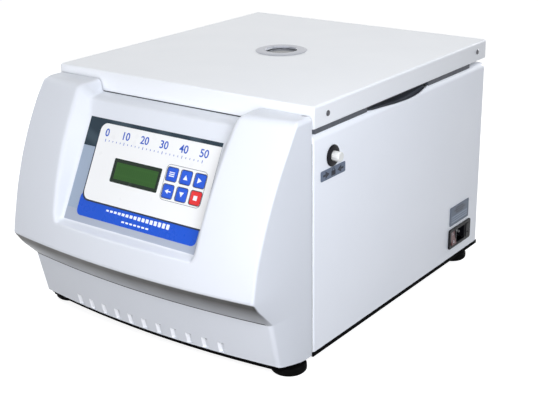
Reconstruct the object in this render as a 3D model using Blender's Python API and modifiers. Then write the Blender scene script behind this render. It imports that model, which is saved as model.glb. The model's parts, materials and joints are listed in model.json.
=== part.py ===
"""Bench-top laboratory centrifuge: a steel case under a hinged lid, with a bowed moulded front.

Metres, +Z up. X runs to the right of someone facing the front and Y runs back. Every size is worked out in
the case's own frame: x = 0 at mid-width, y = 0 at the front of the case, z = 0 at its bottom edge. The empty
part_frame then moves the model so that its origin is on the bench, under the middle of its bounding box.
"""
import math

import bmesh
import bpy
from mathutils import Matrix, Vector

# Shared sizes
GAP = 0.0003
MERGE = 0.00001
OVERRUN = 0.002
SHEET = 0.0012
ROUND_STEPS = 24
SMALL_STEPS = 12
MEDIUM_STEPS = 20
SCREW_STEPS = 8

# Chamber
BOWL_RADIUS = 0.160
BOWL_WALL = 0.001
BOWL_DEPTH = 0.148
BOWL_CORNER = 0.004
BOWL_FLANGE = 0.012
BOWL_HOLE = 0.014

# Case, which leaves room round the chamber
SIDE_ROOM = 0.040
FRONT_ROOM = 0.059
REAR_ROOM = 0.055
ROTOR_Y = BOWL_RADIUS + FRONT_ROOM
CASE_WIDTH = 2 * (BOWL_RADIUS + SIDE_ROOM)
CASE_DEPTH = ROTOR_Y + BOWL_RADIUS + REAR_ROOM
CASE_HEIGHT = 0.270
CASE_EDGE_RADIUS = 0.009
CASE_CORNER_RADIUS = 0.005
CASE_FLANGE = 0.028
HALF_WIDTH = CASE_WIDTH / 2

# Finger scoops: their ends, their depth, and their bottom line as shares of the length and of the depth
SCOOP_AHEAD = 0.099
SCOOP_LENGTH = 0.152
SCOOP_DEPTH = 0.0064
SCOOP_SHARES = ((0.0, 0.0), (0.09, 0.34), (0.16, 0.44), (0.22, 0.48), (0.28, 0.59), (0.34, 0.69),
                (0.40, 0.80), (0.46, 0.875), (0.53, 0.94), (0.59, 0.97), (0.66, 1.0), (0.72, 0.92),
                (0.80, 0.78), (0.88, 0.47), (0.93, 0.34), (1.0, 0.0))
SCOOP_INSERT_WIDTH = 0.024
SCOOP_INSERT_HEIGHT = 0.016

# Rear opening and its louvred panel
REAR_OPENING_WIDTH = 0.250
REAR_OPENING_LOW = 0.050
REAR_OPENING_HEIGHT = 0.160
REAR_PANEL_MARGIN = 0.012
LOUVRE_COUNT = 9
LOUVRE_WIDTH = 0.080
LOUVRE_HEIGHT = 0.005
LOUVRE_SPREAD = 0.055

# Base pan and feet
PAN_HEIGHT = 0.006
PAN_NOSE_INSET = 0.0045
PAN_SIDE_CLEARANCE = 0.001
FOOT_HEIGHT = 0.010
FOOT_RADIUS = 0.0215
FOOT_SIDE_INSET = 0.018
FOOT_FRONT_REACH = 0.025
FOOT_REAR_INSET = 0.046
FOOT_EDGE_SHARE = 0.15
FOOT_STEM_RADIUS = 0.004
FOOT_LIP = 0.0012
FOOT_RECESS_RADIUS = 0.012
FOOT_RECESS_DEPTH = 0.005
PAN_VENT_COUNT = 6
PAN_VENT_LENGTH = 0.060
PAN_VENT_WIDTH = 0.005

# Screws: shank radius, head radius, head height
SCREW_RADIUS = 0.0020
SCREW_HEAD_RADIUS = 0.0035
SCREW_HEAD = 0.0012
SCREW_CROWN_SHARE = 0.75
SCREW_LENGTH = 0.008

# Front fascia, measured at its sides; the bow is added towards the middle
FASCIA_WALL = 0.0032
FASCIA_BOW = 0.016
FASCIA_TOP = 0.291
FASCIA_REACH = 0.106
FASCIA_BROW_REACH = 0.030
FASCIA_BROW_DROP = 0.0035
FASCIA_CROWN = 0.0114
FASCIA_TAPER = 0.0065
FASCIA_CORNER = 0.004
FASCIA_FLANGE = 0.014
BELLY_Z = 0.102
GROOVE_MID_REACH = 0.0955
GROOVE_MID_Z = 0.0865
SKIRT_TOP_REACH = 0.0725
SKIRT_TOP_Z = 0.063
SKIRT_BOTTOM_REACH = 0.057
LEDGE_Z = 0.275
LEDGE_REACH = 0.0265
CREASE_Z = 0.134
WELL_MARGIN = 0.0025
WELL_FRONT_SPREAD = 0.007
WELL_BACK_SPREAD = 0.0155
RIDGE_BOTTOM_SPREAD = 0.004
RIDGE_TOP_SPREAD = 0.0185
NOTCH_COUNT = 11
NOTCH_PITCH = 0.0233
NOTCH_WIDTH = 0.009
NOTCH_HEIGHT = 0.0205
NOTCH_DEPTH = 0.0020

# Control panel, laid out in its own sloping plane: u to the right, v up the slope
PANEL_WIDTH = 0.209
PANEL_HEIGHT = 0.131
PANEL_THICKNESS = 0.0015
PANEL_LOW_REACH = 0.0991
PANEL_LOW_Z = 0.1382
PANEL_TILT = math.radians(27.0)
PANEL_SEAT = 0.007
DISPLAY_WIDTH = 0.0755
DISPLAY_HEIGHT = 0.029
DISPLAY_TO_KEYS = 0.075
DISPLAY_V = 0.0065
DISPLAY_SINK = 0.0003
DISPLAY_BODY_BORDER = 0.007
DISPLAY_BODY_DEPTH = 0.0075
KEY_SIZE = 0.0155
KEY_PITCH_U = 0.021
KEY_PITCH_V = 0.0205
KEY_SIDE_ROOM = 0.0395
KEY_CENTRE_V = 0.0072
KEY_PROUD = 0.001
KEY_TRAVEL = 0.0008
KEY_FLANGE = 0.001
KEY_DEPTH = 0.0045
BOARD_THICKNESS = 0.0016
BOARD_DEPTH = 0.0105
STANDOFF_RADIUS = 0.0034
PIN_RADIUS = 0.0017
BOSS_ROOT_SHARE = 0.75
SWITCH_SIZE = 0.006

# Top deck, whose sides turn down over the case's rounded edges
DECK_INSET = 0.0035
DECK_FRONT = 0.002
DECK_REAR_INSET = 0.038
DECK_PLATE = 0.003
DECK_RIM_HEIGHT = 0.0052
DECK_RIM_WIDTH = 0.003
DECK_TURN_DOWN = 0.0025
DECK_CORNER = 0.006

# Lid
LID_CLEARANCE = 0.006
LID_SKIRT = 0.026
LID_FRONT = 0.0007
LID_EDGE_RADIUS = 0.003
LINER_RISE = 0.004
LINER_WALL = 0.016
LID_SCREW_FRONT = 0.0292
LID_SCREW_REAR_INSET = 0.029
LID_SCREW_RISE = 0.013
SIGHT_RING_RADIUS = 0.035
SIGHT_RING_BORE = 0.0215
SIGHT_RING_THICKNESS = 0.0013
SIGHT_TUBE_RADIUS = 0.0294
SIGHT_TUBE_BORE = 0.0275
SIGHT_GLASS_THICKNESS = 0.004
SIGHT_GLASS_DROP = 0.002
LID_SEAL_OUTSET = 0.003
LID_SEAL_WIDTH = 0.007

# Hinges
HINGE_WIDTH = 0.300
HINGE_KNUCKLES = 7
HINGE_LEAF = 0.0015
HINGE_AXIS_OUT = 0.0045
HINGE_AXIS_RISE = 0.003
HINGE_BARREL_RADIUS = 0.0035
HINGE_PIN_RADIUS = 0.0016
HINGE_LEAF_HEIGHT = 0.030

# Push lock
LOCK_Y = 0.0395
LOCK_Z = 0.2364
LOCK_BEZEL_RADIUS = 0.013
LOCK_BEZEL_THICKNESS = 0.0025
LOCK_BODY_RADIUS = 0.009
LOCK_BODY_LENGTH = 0.022
LOCK_NUT_RADIUS = 0.014
LOCK_NUT_THICKNESS = 0.006
LOCK_KNOB_RADIUS = 0.006
LOCK_KNOB_REACH = 0.012
LOCK_TRAVEL = 0.008
LOCK_ROD_RADIUS = 0.0046
STRIKER_INSET = 0.0387
STRIKER_THICKNESS = 0.003
STRIKER_WIDTH = 0.020
STRIKER_TAIL = 0.010
STRIKER_EYE_RADIUS = 0.0056
STRIKER_FOOT = 0.016
STRIKER_SLOT_AHEAD = 0.0045
STRIKER_SLOT_BEHIND = 0.0025
LOCK_ROD_STANDOFF = 0.0017

# Plates on the right side
LOCK_PLATE_FRONT = 0.0145
LOCK_PLATE_LENGTH = 0.051
LOCK_PLATE_LOW = 0.2105
LOCK_PLATE_HEIGHT = 0.0125
FUSE_PLATE_INSET = 0.0905
FUSE_PLATE_LENGTH = 0.0565
FUSE_PLATE_LOW = 0.0485
FUSE_PLATE_HEIGHT = 0.028
PLATE_THICKNESS = 0.0008
PLATE_CORNER = 0.0015

# Mains inlet, with a rocker, a socket and a fuse drawer side by side
INLET_INSET = 0.093
INLET_LENGTH = 0.0645
INLET_LOW = 0.0145
INLET_HEIGHT = 0.0295
INLET_FLANGE = 0.0025
INLET_CORNER = 0.003
INLET_BORDER = 0.003
INLET_DEPTH = 0.030
CELL_WALL = 0.0015
CELL_HEIGHT = 0.0206
ROCKER_WIDTH = 0.013
ROCKER_TILT = math.radians(10)
ROCKER_FACE = 0.0028
ROCKER_DISH = 0.0012
ROCKER_WELL_DEPTH = 0.015
SOCKET_WIDTH = 0.0245
SOCKET_DEPTH = 0.0180
SOCKET_BLADE_LENGTH = 0.0125
SOCKET_BLADE_WIDTH = 0.004
SOCKET_BLADE_THICKNESS = 0.002
SOCKET_BLADE_SPACING = 0.014
SOCKET_EARTH_RISE = 0.004
FUSE_WIDTH = 0.0085
FUSE_LENGTH = 0.022
FUSE_PROUD = 0.001

# Motor, under the chamber
MOTOR_PLATE_TOP = 0.103
MOTOR_PLATE_THICKNESS = 0.003
MOTOR_PLATE_RADIUS = 0.092
MOTOR_RADIUS = 0.060
MOTOR_HEIGHT = 0.068
MOTOR_BOSS_RADIUS = 0.026
MOTOR_BOSS_HEIGHT = 0.008
MOTOR_EDGE_SHARE = 0.06
DAMPER_WIDTH = 0.018
DAMPER_HEIGHT = 0.010
LEG_RADIUS = 0.007
SHAFT_RADIUS = 0.006
SHAFT_BOTTOM = 0.008
FAN_RADIUS = 0.045
FAN_HUB_RADIUS = 0.014
FAN_HEIGHT = 0.012
FAN_BLADES = 7
FAN_BLADE_THICKNESS = 0.002
BOOT_LIP = 0.003
BOOT_BORE = 0.0085

# Rotor head and buckets
PIVOT_Z = 0.226
PIVOT_RING = 0.062
YOKE_RADIUS = 0.082
YOKE_THICKNESS = 0.016
YOKE_NOTCH = 0.034
YOKE_NOTCH_HALF = 0.026
HUB_RADIUS = 0.020
HUB_BELOW = 0.028
HUB_ABOVE = 0.005
TRUNNION_RADIUS = 0.004
TRUNNION_LENGTH = 0.0045
BUCKET_RADIUS = 0.020
BUCKET_WALL = 0.003
BUCKET_BELOW = 0.084
BUCKET_ABOVE = 0.007
BUCKET_BOTTOM = 0.004
BUCKET_COLLAR = 0.0022
BUCKET_BOSS_WIDTH = 0.013
BUCKET_COUNT = 4
NUT_RADIUS = 0.015
NUT_HEIGHT = 0.014

# Parts on the pan and under the deck
SUPPLY_SIZE = (0.090, 0.048, 0.036)
SUPPLY_SIDE_INSET = 0.080
SUPPLY_Y = 0.050
DRIVE_BOARD_SIZE = (0.120, 0.070)
DRIVE_BOARD_SIDE_INSET = 0.090
DRIVE_BOARD_Y = 0.052
DRIVE_BOARD_RISE = 0.008

# Places that follow from the sizes
SCOOP_FRONT = ROTOR_Y - SCOOP_AHEAD
WELL_X = PANEL_WIDTH / 2 + WELL_MARGIN
WELL_FRONT_X = WELL_X + WELL_FRONT_SPREAD
WELL_BACK_X = WELL_X + WELL_BACK_SPREAD
RIDGE_BOTTOM_X = WELL_X + RIDGE_BOTTOM_SPREAD
RIDGE_TOP_X = WELL_X + RIDGE_TOP_SPREAD
KEY_CENTRE_U = PANEL_WIDTH / 2 - KEY_SIDE_ROOM
DISPLAY_U = KEY_CENTRE_U - DISPLAY_TO_KEYS
FOOT_X = HALF_WIDTH - FOOT_SIDE_INSET
FOOT_FRONT_Y = -FOOT_FRONT_REACH
FOOT_REAR_Y = CASE_DEPTH - FOOT_REAR_INSET
DECK_REAR = CASE_DEPTH - DECK_REAR_INSET
LID_SCREW_Y = (LID_SCREW_FRONT, CASE_DEPTH - LID_SCREW_REAR_INSET)
LID_SEAL_RADIUS = BOWL_RADIUS + LID_SEAL_OUTSET
STRIKER_X = HALF_WIDTH - STRIKER_INSET
FUSE_PLATE_FRONT = CASE_DEPTH - FUSE_PLATE_INSET
INLET_FRONT = CASE_DEPTH - INLET_INSET
SUPPLY_X = HALF_WIDTH - SUPPLY_SIDE_INSET
DRIVE_BOARD_X = DRIVE_BOARD_SIDE_INSET - HALF_WIDTH
PAN_FLOOR = SHEET - PAN_HEIGHT
BENCH_Z = -(PAN_HEIGHT + FOOT_HEIGHT)
LID_BOTTOM = CASE_HEIGHT + LID_CLEARANCE
LID_TOP = LID_BOTTOM + LID_SKIRT
LINER_Z = LID_BOTTOM + LINER_RISE
HINGE_Y = CASE_DEPTH + HINGE_AXIS_OUT
HINGE_Z = CASE_HEIGHT + HINGE_AXIS_RISE
DECK_TOP = CASE_HEIGHT + GAP + DECK_PLATE
BOWL_FLANGE_TOP = DECK_TOP + GAP + BOWL_WALL
BOWL_FLOOR = BOWL_FLANGE_TOP - BOWL_DEPTH
SHAFT_TOP = PIVOT_Z + YOKE_THICKNESS / 2 + HUB_ABOVE + NUT_HEIGHT * 0.75
REAR_REACH = HINGE_Y + HINGE_BARREL_RADIUS
FRAME_X = (max(GAP + SCREW_HEAD, FOOT_X + FOOT_RADIUS - HALF_WIDTH) - LOCK_KNOB_REACH) / 2
FRAME_Y = (FASCIA_REACH + FASCIA_BOW + GAP - REAR_REACH) / 2

COLOURS = {
    "white_coat": ((0.86, 0.87, 0.89), 0.42, 0.0),
    "white_moulding": ((0.85, 0.86, 0.89), 0.38, 0.0),
    "dark_moulding": ((0.07, 0.07, 0.08), 0.55, 0.0),
    "black_steel": ((0.02, 0.02, 0.02), 0.50, 0.0),
    "black_moulding": ((0.02, 0.02, 0.02), 0.35, 0.0),
    "rubber": ((0.02, 0.02, 0.02), 0.80, 0.0),
    "bare_steel": ((0.60, 0.61, 0.62), 0.30, 1.0),
    "aluminium": ((0.72, 0.73, 0.74), 0.35, 1.0),
    "overlay": ((0.92, 0.93, 0.94), 0.25, 0.0),
    "blue_key": ((0.02, 0.09, 0.55), 0.35, 0.0),
    "red_key": ((0.70, 0.02, 0.03), 0.35, 0.0),
    "display": ((0.04, 0.12, 0.03), 0.15, 0.0),
    "clear": ((0.75, 0.78, 0.78), 0.05, 0.0),
    "board": ((0.01, 0.16, 0.07), 0.45, 0.0),
    "grey_plate": ((0.33, 0.38, 0.45), 0.40, 0.0),
    "red_rocker": ((0.35, 0.05, 0.05), 0.30, 0.0),
    "white_knob": ((0.86, 0.86, 0.84), 0.35, 0.0),
}


def clear_scene():
    for old in list(bpy.data.objects):
        bpy.data.objects.remove(old, do_unlink=True)


def new_collection(name):
    made = bpy.data.collections.new(name)
    bpy.context.scene.collection.children.link(made)
    return made


def new_material(name, colour, roughness, metallic):
    made = bpy.data.materials.new(name)
    made.use_nodes = True
    shader = made.node_tree.nodes["Principled BSDF"]
    shader.inputs["Base Color"].default_value = (*colour, 1.0)
    shader.inputs["Roughness"].default_value = roughness
    shader.inputs["Metallic"].default_value = metallic
    return made


clear_scene()
PARTS = new_collection("laboratory_centrifuge")
CUTTERS = new_collection("cutters")
MATERIALS = {name: new_material(name, *look) for name, look in COLOURS.items()}


def new_empty(name, place, parent=None, turn=(0.0, 0.0, 0.0)):
    made = bpy.data.objects.new(name, None)
    made.location = place
    made.rotation_euler = turn
    made.parent = parent
    PARTS.objects.link(made)
    return made


FRAME = new_empty("part_frame", (FRAME_X, FRAME_Y, -BENCH_Z))


def as_part(mesh, name, look, parent=FRAME, place=(0.0, 0.0, 0.0)):
    made = bpy.data.objects.new(name, mesh)
    if not mesh.materials:
        mesh.materials.append(MATERIALS[look])
    made.location = place
    made.parent = parent
    PARTS.objects.link(made)
    return made


def as_cutter(mesh, name, parent=FRAME, place=(0.0, 0.0, 0.0)):
    made = bpy.data.objects.new(name, mesh)
    made.location = place
    made.parent = parent
    made.hide_render = True
    made.display_type = "WIRE"
    CUTTERS.objects.link(made)
    return made


def finish_mesh(shape, name):
    mesh = bpy.data.meshes.new(name)
    shape.to_mesh(mesh)
    shape.free()
    return mesh


def add_box(shape, low, high):
    size = [b - a for a, b in zip(low, high)]
    middle = [(a + b) / 2 for a, b in zip(low, high)]
    place = Matrix.Translation(middle) @ Matrix.Diagonal((*size, 1.0))
    bmesh.ops.create_cube(shape, size=1.0, matrix=place)


def box_mesh(name, *boxes):
    shape = bmesh.new()
    for low, high in boxes:
        add_box(shape, low, high)
    return finish_mesh(shape, name)


def turn_to(axis):
    return Vector((0.0, 0.0, 1.0)).rotation_difference(Vector(axis)).to_matrix().to_4x4()


def add_rod(shape, start, axis, length, radius, steps=SMALL_STEPS, end_radius=None):
    direction = Vector(axis).normalized()
    middle = Vector(start) + direction * (length / 2)
    bmesh.ops.create_cone(
        shape, cap_ends=True, segments=steps, radius1=radius,
        radius2=radius if end_radius is None else end_radius, depth=length,
        matrix=Matrix.Translation(middle) @ turn_to(direction))


def rod_mesh(name, *rods, steps=SMALL_STEPS):
    shape = bmesh.new()
    for start, axis, length, radius in rods:
        add_rod(shape, start, axis, length, radius, steps)
    mesh = finish_mesh(shape, name)
    smooth(mesh)
    return mesh


def smooth(mesh, angle=math.radians(35)):
    mesh.shade_smooth()
    mesh.set_sharp_from_angle(angle=angle)


def profile_mesh(name, profile, closed=True):
    shape = bmesh.new()
    made = [shape.verts.new((radius, 0.0, height)) for radius, height in profile]
    pairs = list(zip(made, made[1:]))
    if closed:
        pairs.append((made[-1], made[0]))
    for first, second in pairs:
        shape.edges.new((first, second))
    return finish_mesh(shape, name)


def turned(name, profile, look, parent=FRAME, place=(0.0, 0.0, 0.0), closed=True, steps=ROUND_STEPS):
    """A turned piece; its profile runs down the outer side and back up the inner side."""
    made = as_part(profile_mesh(name, profile, closed), name, look, parent, place)
    spin = made.modifiers.new("turn", "SCREW")
    spin.steps = steps
    spin.render_steps = steps
    spin.use_merge_vertices = True
    spin.merge_threshold = 10 * MERGE
    spin.use_smooth_shade = True
    return made


def arc(centre, radius, start, end, steps):
    """Points round an arc, from one angle to another in degrees."""
    angles = [math.radians(start + (end - start) * i / steps) for i in range(steps + 1)]
    return [(centre[0] + radius * math.cos(a), centre[1] + radius * math.sin(a)) for a in angles]


def rounded_outline(low, high, radius, steps=2):
    """The corners of a rectangle, rounded, going round it once."""
    inner_low = (low[0] + radius, low[1] + radius)
    inner_high = (high[0] - radius, high[1] - radius)
    centres = (inner_high, (inner_low[0], inner_high[1]), inner_low, (inner_high[0], inner_low[1]))
    points = []
    for turn, centre in enumerate(centres):
        points += arc(centre, radius, 90 * turn, 90 * turn + 90, steps)
    return points


def outline_mesh(name, outlines, thickness):
    """A flat plate centred on z = 0, from a filled 2D curve; inner outlines are its holes."""
    curve = bpy.data.curves.new(name, "CURVE")
    curve.dimensions = "2D"
    curve.fill_mode = "BOTH"
    curve.extrude = thickness / 2
    for points in outlines:
        line = curve.splines.new("POLY")
        line.points.add(len(points) - 1)
        for target, (x, y) in zip(line.points, points):
            target.co = (x, y, 0.0, 1.0)
        line.use_cyclic_u = True
    holder = bpy.data.objects.new(name + "_outline", curve)
    CUTTERS.objects.link(holder)
    mesh = bpy.data.meshes.new_from_object(holder.evaluated_get(bpy.context.evaluated_depsgraph_get()))
    bpy.data.objects.remove(holder, do_unlink=True)
    shape = bmesh.new()
    shape.from_mesh(mesh)
    bmesh.ops.remove_doubles(shape, verts=shape.verts, dist=MERGE)
    bmesh.ops.recalc_face_normals(shape, faces=shape.faces)
    shape.to_mesh(mesh)
    shape.free()
    mesh.name = name
    return mesh


def plate_mesh(name, outlines, thickness, place, turn=None):
    """A plate from outlines, moved so that the middle of its thickness is at place."""
    mesh = outline_mesh(name, outlines, thickness)
    mesh.transform(Matrix.Translation(place) @ (turn if turn else Matrix.Identity(4)))
    return mesh


SIDEWAYS = Matrix(((0, 0, 1, 0), (1, 0, 0, 0), (0, 1, 0, 0), (0, 0, 0, 1)))
UPRIGHT = Matrix.Rotation(math.radians(90), 4, "X")


def cut(target, cutter, operation="DIFFERENCE"):
    step = target.modifiers.new(cutter.name, "BOOLEAN")
    step.operation = operation
    step.object = cutter
    step.solver = "EXACT"
    return step


def cut_boxes(target, name, *boxes, parent=FRAME):
    return cut(target, as_cutter(box_mesh(name, *boxes), name, parent))


def cut_rods(target, name, *rods, steps=SMALL_STEPS, parent=FRAME):
    return cut(target, as_cutter(rod_mesh(name, *rods, steps=steps), name, parent))


def soften(target, width, segments=1, angle=40):
    step = target.modifiers.new("soft_edges", "BEVEL")
    step.width = width
    step.segments = segments
    step.limit_method = "ANGLE"
    step.angle_limit = math.radians(angle)
    return step


def thicken(target, thickness, offset=-1.0):
    step = target.modifiers.new("wall", "SOLIDIFY")
    step.thickness = thickness
    step.offset = offset
    step.use_even_offset = True
    return step


def grid_mesh(name, rows):
    """A surface over rows of points from the top down, with the points that meet joined."""
    shape = bmesh.new()
    made = [[shape.verts.new(point) for point in row] for row in rows]
    for upper, lower in zip(made, made[1:]):
        for i in range(len(upper) - 1):
            shape.faces.new((upper[i], lower[i], lower[i + 1], upper[i + 1]))
    bmesh.ops.remove_doubles(shape, verts=shape.verts, dist=MERGE)
    return finish_mesh(shape, name)


def right_hole(y, z, radius, reach=0.020):
    """A rod through the right side of the case."""
    return ((HALF_WIDTH - reach, y, z), (1.0, 0.0, 0.0), reach + OVERRUN, radius)


def case_section():
    """Inset and height of the wrap's section, from its bottom edge up and in to its flange."""
    radius = CASE_EDGE_RADIUS
    points = [(0.0, 0.0)]
    points += [(radius - x, CASE_HEIGHT - radius + z) for x, z in arc((0, 0), radius, 0, 90, 4)]
    points.append((CASE_FLANGE, CASE_HEIGHT))
    return points


def case_path(inset):
    """The right half of the wrap's plan, from the front back and round to the middle of the rear."""
    radius = max(CASE_CORNER_RADIUS - inset, SHEET / 4)
    centre = (HALF_WIDTH - inset - radius, CASE_DEPTH - inset - radius)
    points = [(HALF_WIDTH - inset, 0.0)]
    points += arc(centre, radius, 0, 90, 3)
    points.append((0.0, CASE_DEPTH - inset))
    return points


def build_case():
    rows = [[(x, y, z) for x, y in case_path(inset)] for inset, z in case_section()]
    case = as_part(grid_mesh("case_wrap", rows[::-1]), "case_wrap", "white_coat")
    halves = case.modifiers.new("halves", "MIRROR")
    halves.merge_threshold = 10 * MERGE
    thicken(case, SHEET)
    cut(case, as_cutter(scoop_block("scoop_cut", 0.0), "scoop_cut"))
    cut_rods(case, "lock_hole", right_hole(LOCK_Y, LOCK_Z, LOCK_BODY_RADIUS + GAP), steps=ROUND_STEPS)
    body_low, body_high = inlet_body()
    cut_boxes(case, "inlet_hole", (
        (HALF_WIDTH - 2 * SHEET, body_low[1] - GAP, body_low[2] - GAP),
        (HALF_WIDTH + OVERRUN, body_high[1] + GAP, body_high[2] + GAP)))
    cut_boxes(case, "rear_opening", (
        (-REAR_OPENING_WIDTH / 2, CASE_DEPTH - 2 * SHEET, REAR_OPENING_LOW),
        (REAR_OPENING_WIDTH / 2, CASE_DEPTH + OVERRUN, REAR_OPENING_LOW + REAR_OPENING_HEIGHT)))


def scoop_block(name, drop):
    """What the two scoops take away, right across the case; drop lowers their bottom line."""
    line = [(SCOOP_FRONT + SCOOP_LENGTH * along, CASE_HEIGHT - SCOOP_DEPTH * down - drop)
            for along, down in SCOOP_SHARES]
    top = CASE_HEIGHT + OVERRUN
    outline = line + [(line[-1][0], top), (line[0][0], top)]
    return plate_mesh(name, [outline], CASE_WIDTH + 2 * OVERRUN, (0.0, 0.0, 0.0), SIDEWAYS)


def build_scoops():
    """The dark inserts under the two finger scoops, cut to the scoops' own line."""
    outer = HALF_WIDTH - SHEET - GAP
    front = SCOOP_FRONT
    rear = SCOOP_FRONT + SCOOP_LENGTH
    edge = CASE_EDGE_RADIUS
    for side, word in ((1, "right"), (-1, "left")):
        face, back = side * outer, side * (outer - SCOOP_INSERT_WIDTH)
        low = (min(face, back), front, CASE_HEIGHT - SCOOP_DEPTH - SCOOP_INSERT_HEIGHT)
        high = (max(face, back), rear, CASE_HEIGHT - SHEET - GAP)
        name = "finger_scoop_" + word
        scoop = as_part(box_mesh(name, (low, high)), name, "dark_moulding")
        cut(scoop, as_cutter(scoop_block("scoop_line", GAP), "scoop_line_" + word))
        ends = sorted((face + side * OVERRUN, face - side * edge))
        cut_boxes(scoop, "scoop_edge_" + word, (
            (ends[0], front - OVERRUN, CASE_HEIGHT - edge),
            (ends[1], rear + OVERRUN, CASE_HEIGHT + OVERRUN)))


def build_rear():
    face = CASE_DEPTH + GAP
    margin = REAR_PANEL_MARGIN
    low = (-REAR_OPENING_WIDTH / 2 - margin, REAR_OPENING_LOW - margin)
    high = (REAR_OPENING_WIDTH / 2 + margin, REAR_OPENING_LOW + REAR_OPENING_HEIGHT + margin)
    mesh = plate_mesh("rear_panel", [rounded_outline(low, high, CASE_CORNER_RADIUS)], SHEET,
                      (0.0, face + SHEET / 2, 0.0), UPRIGHT)
    panel = as_part(mesh, "rear_panel", "white_coat")
    slots = []
    pitch = REAR_OPENING_HEIGHT / (LOUVRE_COUNT + 1)
    for side in (-1, 1):
        for i in range(LOUVRE_COUNT):
            z = REAR_OPENING_LOW + pitch * (i + 1)
            x = side * LOUVRE_SPREAD
            slots.append(((x - LOUVRE_WIDTH / 2, face - OVERRUN, z - LOUVRE_HEIGHT / 2),
                          (x + LOUVRE_WIDTH / 2, face + SHEET + OVERRUN, z + LOUVRE_HEIGHT / 2)))
    cut_boxes(panel, "louvres", *slots)


def build_screw(name, parent, place, outward):
    """A pan-head screw whose seat is at its origin, with its head outward."""
    head = SCREW_HEAD_RADIUS
    crown = head * SCREW_CROWN_SHARE
    profile = [(0.0, SCREW_HEAD), (crown, SCREW_HEAD), (head, SCREW_HEAD / 2), (head, 0.0),
               (SCREW_RADIUS, 0.0), (SCREW_RADIUS, -SCREW_LENGTH), (0.0, -SCREW_LENGTH)]
    screw = turned(name, profile, "black_steel", parent, place, closed=False, steps=SMALL_STEPS)
    screw.rotation_euler = turn_to(outward).to_euler()


def bow(x):
    """How far the front bulges forward of its sides at this width."""
    return FASCIA_BOW * (1 - (x / HALF_WIDTH) ** 2)


def pan_outline():
    """Plan of the base pan: as wide as the case, with a nose that follows the bowed skirt."""
    nose_half = HALF_WIDTH - FASCIA_TAPER - FASCIA_WALL - PAN_SIDE_CLEARANCE
    reach = SKIRT_BOTTOM_REACH - FASCIA_WALL - PAN_NOSE_INSET
    points = [(HALF_WIDTH, 0.0), (HALF_WIDTH, CASE_DEPTH), (-HALF_WIDTH, CASE_DEPTH), (-HALF_WIDTH, 0.0)]
    points.append((-nose_half, 0.0))
    steps = 12
    for i in range(steps + 1):
        x = nose_half * (2 * i / steps - 1)
        points.append((x, -reach - bow(x)))
    points.append((nose_half, 0.0))
    return points


def foot_places():
    return [("front_left", -FOOT_X, FOOT_FRONT_Y), ("front_right", FOOT_X, FOOT_FRONT_Y),
            ("rear_left", -FOOT_X, FOOT_REAR_Y), ("rear_right", FOOT_X, FOOT_REAR_Y)]


def build_pan():
    """A pressed tray: its floor is the outline, and its lip turns up to meet the case."""
    shape = bmesh.new()
    floor = shape.faces.new([shape.verts.new((x, y, -PAN_HEIGHT)) for x, y in pan_outline()])
    floor.normal_update()
    if floor.normal.z > 0:
        floor.normal_flip()
    edges = [edge for edge in shape.edges]
    made = bmesh.ops.extrude_edge_only(shape, edges=edges)
    lip = [item for item in made["geom"] if isinstance(item, bmesh.types.BMVert)]
    bmesh.ops.translate(shape, verts=lip, vec=(0.0, 0.0, PAN_HEIGHT - GAP))
    bmesh.ops.recalc_face_normals(shape, faces=shape.faces)
    floor = min(shape.faces, key=lambda face: face.calc_center_median().z)
    if floor.normal.z > 0:
        bmesh.ops.reverse_faces(shape, faces=shape.faces)
    pan = as_part(finish_mesh(shape, "base_pan"), "base_pan", "black_steel")
    thicken(pan, SHEET)
    low = -PAN_HEIGHT - OVERRUN
    through = SHEET + 2 * OVERRUN
    holes = [((x, y, low), (0.0, 0.0, 1.0), through, FOOT_STEM_RADIUS + GAP) for _, x, y in foot_places()]
    cut_rods(pan, "pan_holes", *holes)
    slots = []
    for i in range(PAN_VENT_COUNT):
        x = (i - (PAN_VENT_COUNT - 1) / 2) * PAN_VENT_WIDTH * 2.4
        slots.append(((x - PAN_VENT_WIDTH / 2, ROTOR_Y - PAN_VENT_LENGTH / 2, low),
                      (x + PAN_VENT_WIDTH / 2, ROTOR_Y + PAN_VENT_LENGTH / 2, low + through)))
    cut_boxes(pan, "pan_vents", *slots)


def build_feet():
    """Push-in rubber feet, each with a stem through the pan and a lip above it."""
    top = -PAN_HEIGHT - GAP
    above = PAN_FLOOR + GAP
    edge = FOOT_HEIGHT * FOOT_EDGE_SHARE
    stem = FOOT_STEM_RADIUS
    lip = stem + FOOT_LIP
    recess = BENCH_Z + FOOT_RECESS_DEPTH
    profile = [(0.0, above + 2 * FOOT_LIP), (stem, above + 2 * FOOT_LIP), (lip, above), (stem, above),
               (stem, top), (FOOT_RADIUS - edge, top), (FOOT_RADIUS, top - edge),
               (FOOT_RADIUS, BENCH_Z + edge),
               (FOOT_RADIUS - edge, BENCH_Z), (FOOT_RECESS_RADIUS, BENCH_Z), (FOOT_RECESS_RADIUS, recess),
               (0.0, recess)]
    for word, x, y in foot_places():
        turned("foot_" + word, profile, "rubber", place=(x, y, 0.0), closed=False, steps=MEDIUM_STEPS)


def front_arc(steps):
    """The shoulder's front, from the brow down to the belly, as one shallow arc."""
    top = Vector((-FASCIA_BROW_REACH, FASCIA_TOP - FASCIA_BROW_DROP))
    bottom = Vector((-FASCIA_REACH, BELLY_Z))
    chord = bottom - top
    out = Vector((chord.y, -chord.x)).normalized()
    points = []
    for i in range(steps + 1):
        share = i / steps
        point = top + chord * share + out * (FASCIA_CROWN * 4 * share * (1 - share))
        points.append((point.x, point.y))
    return points


def well_floor(z):
    """Where the sloping floor of the control well is at this height."""
    return -PANEL_LOW_REACH + (z - PANEL_LOW_Z) * math.tan(PANEL_TILT)


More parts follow.
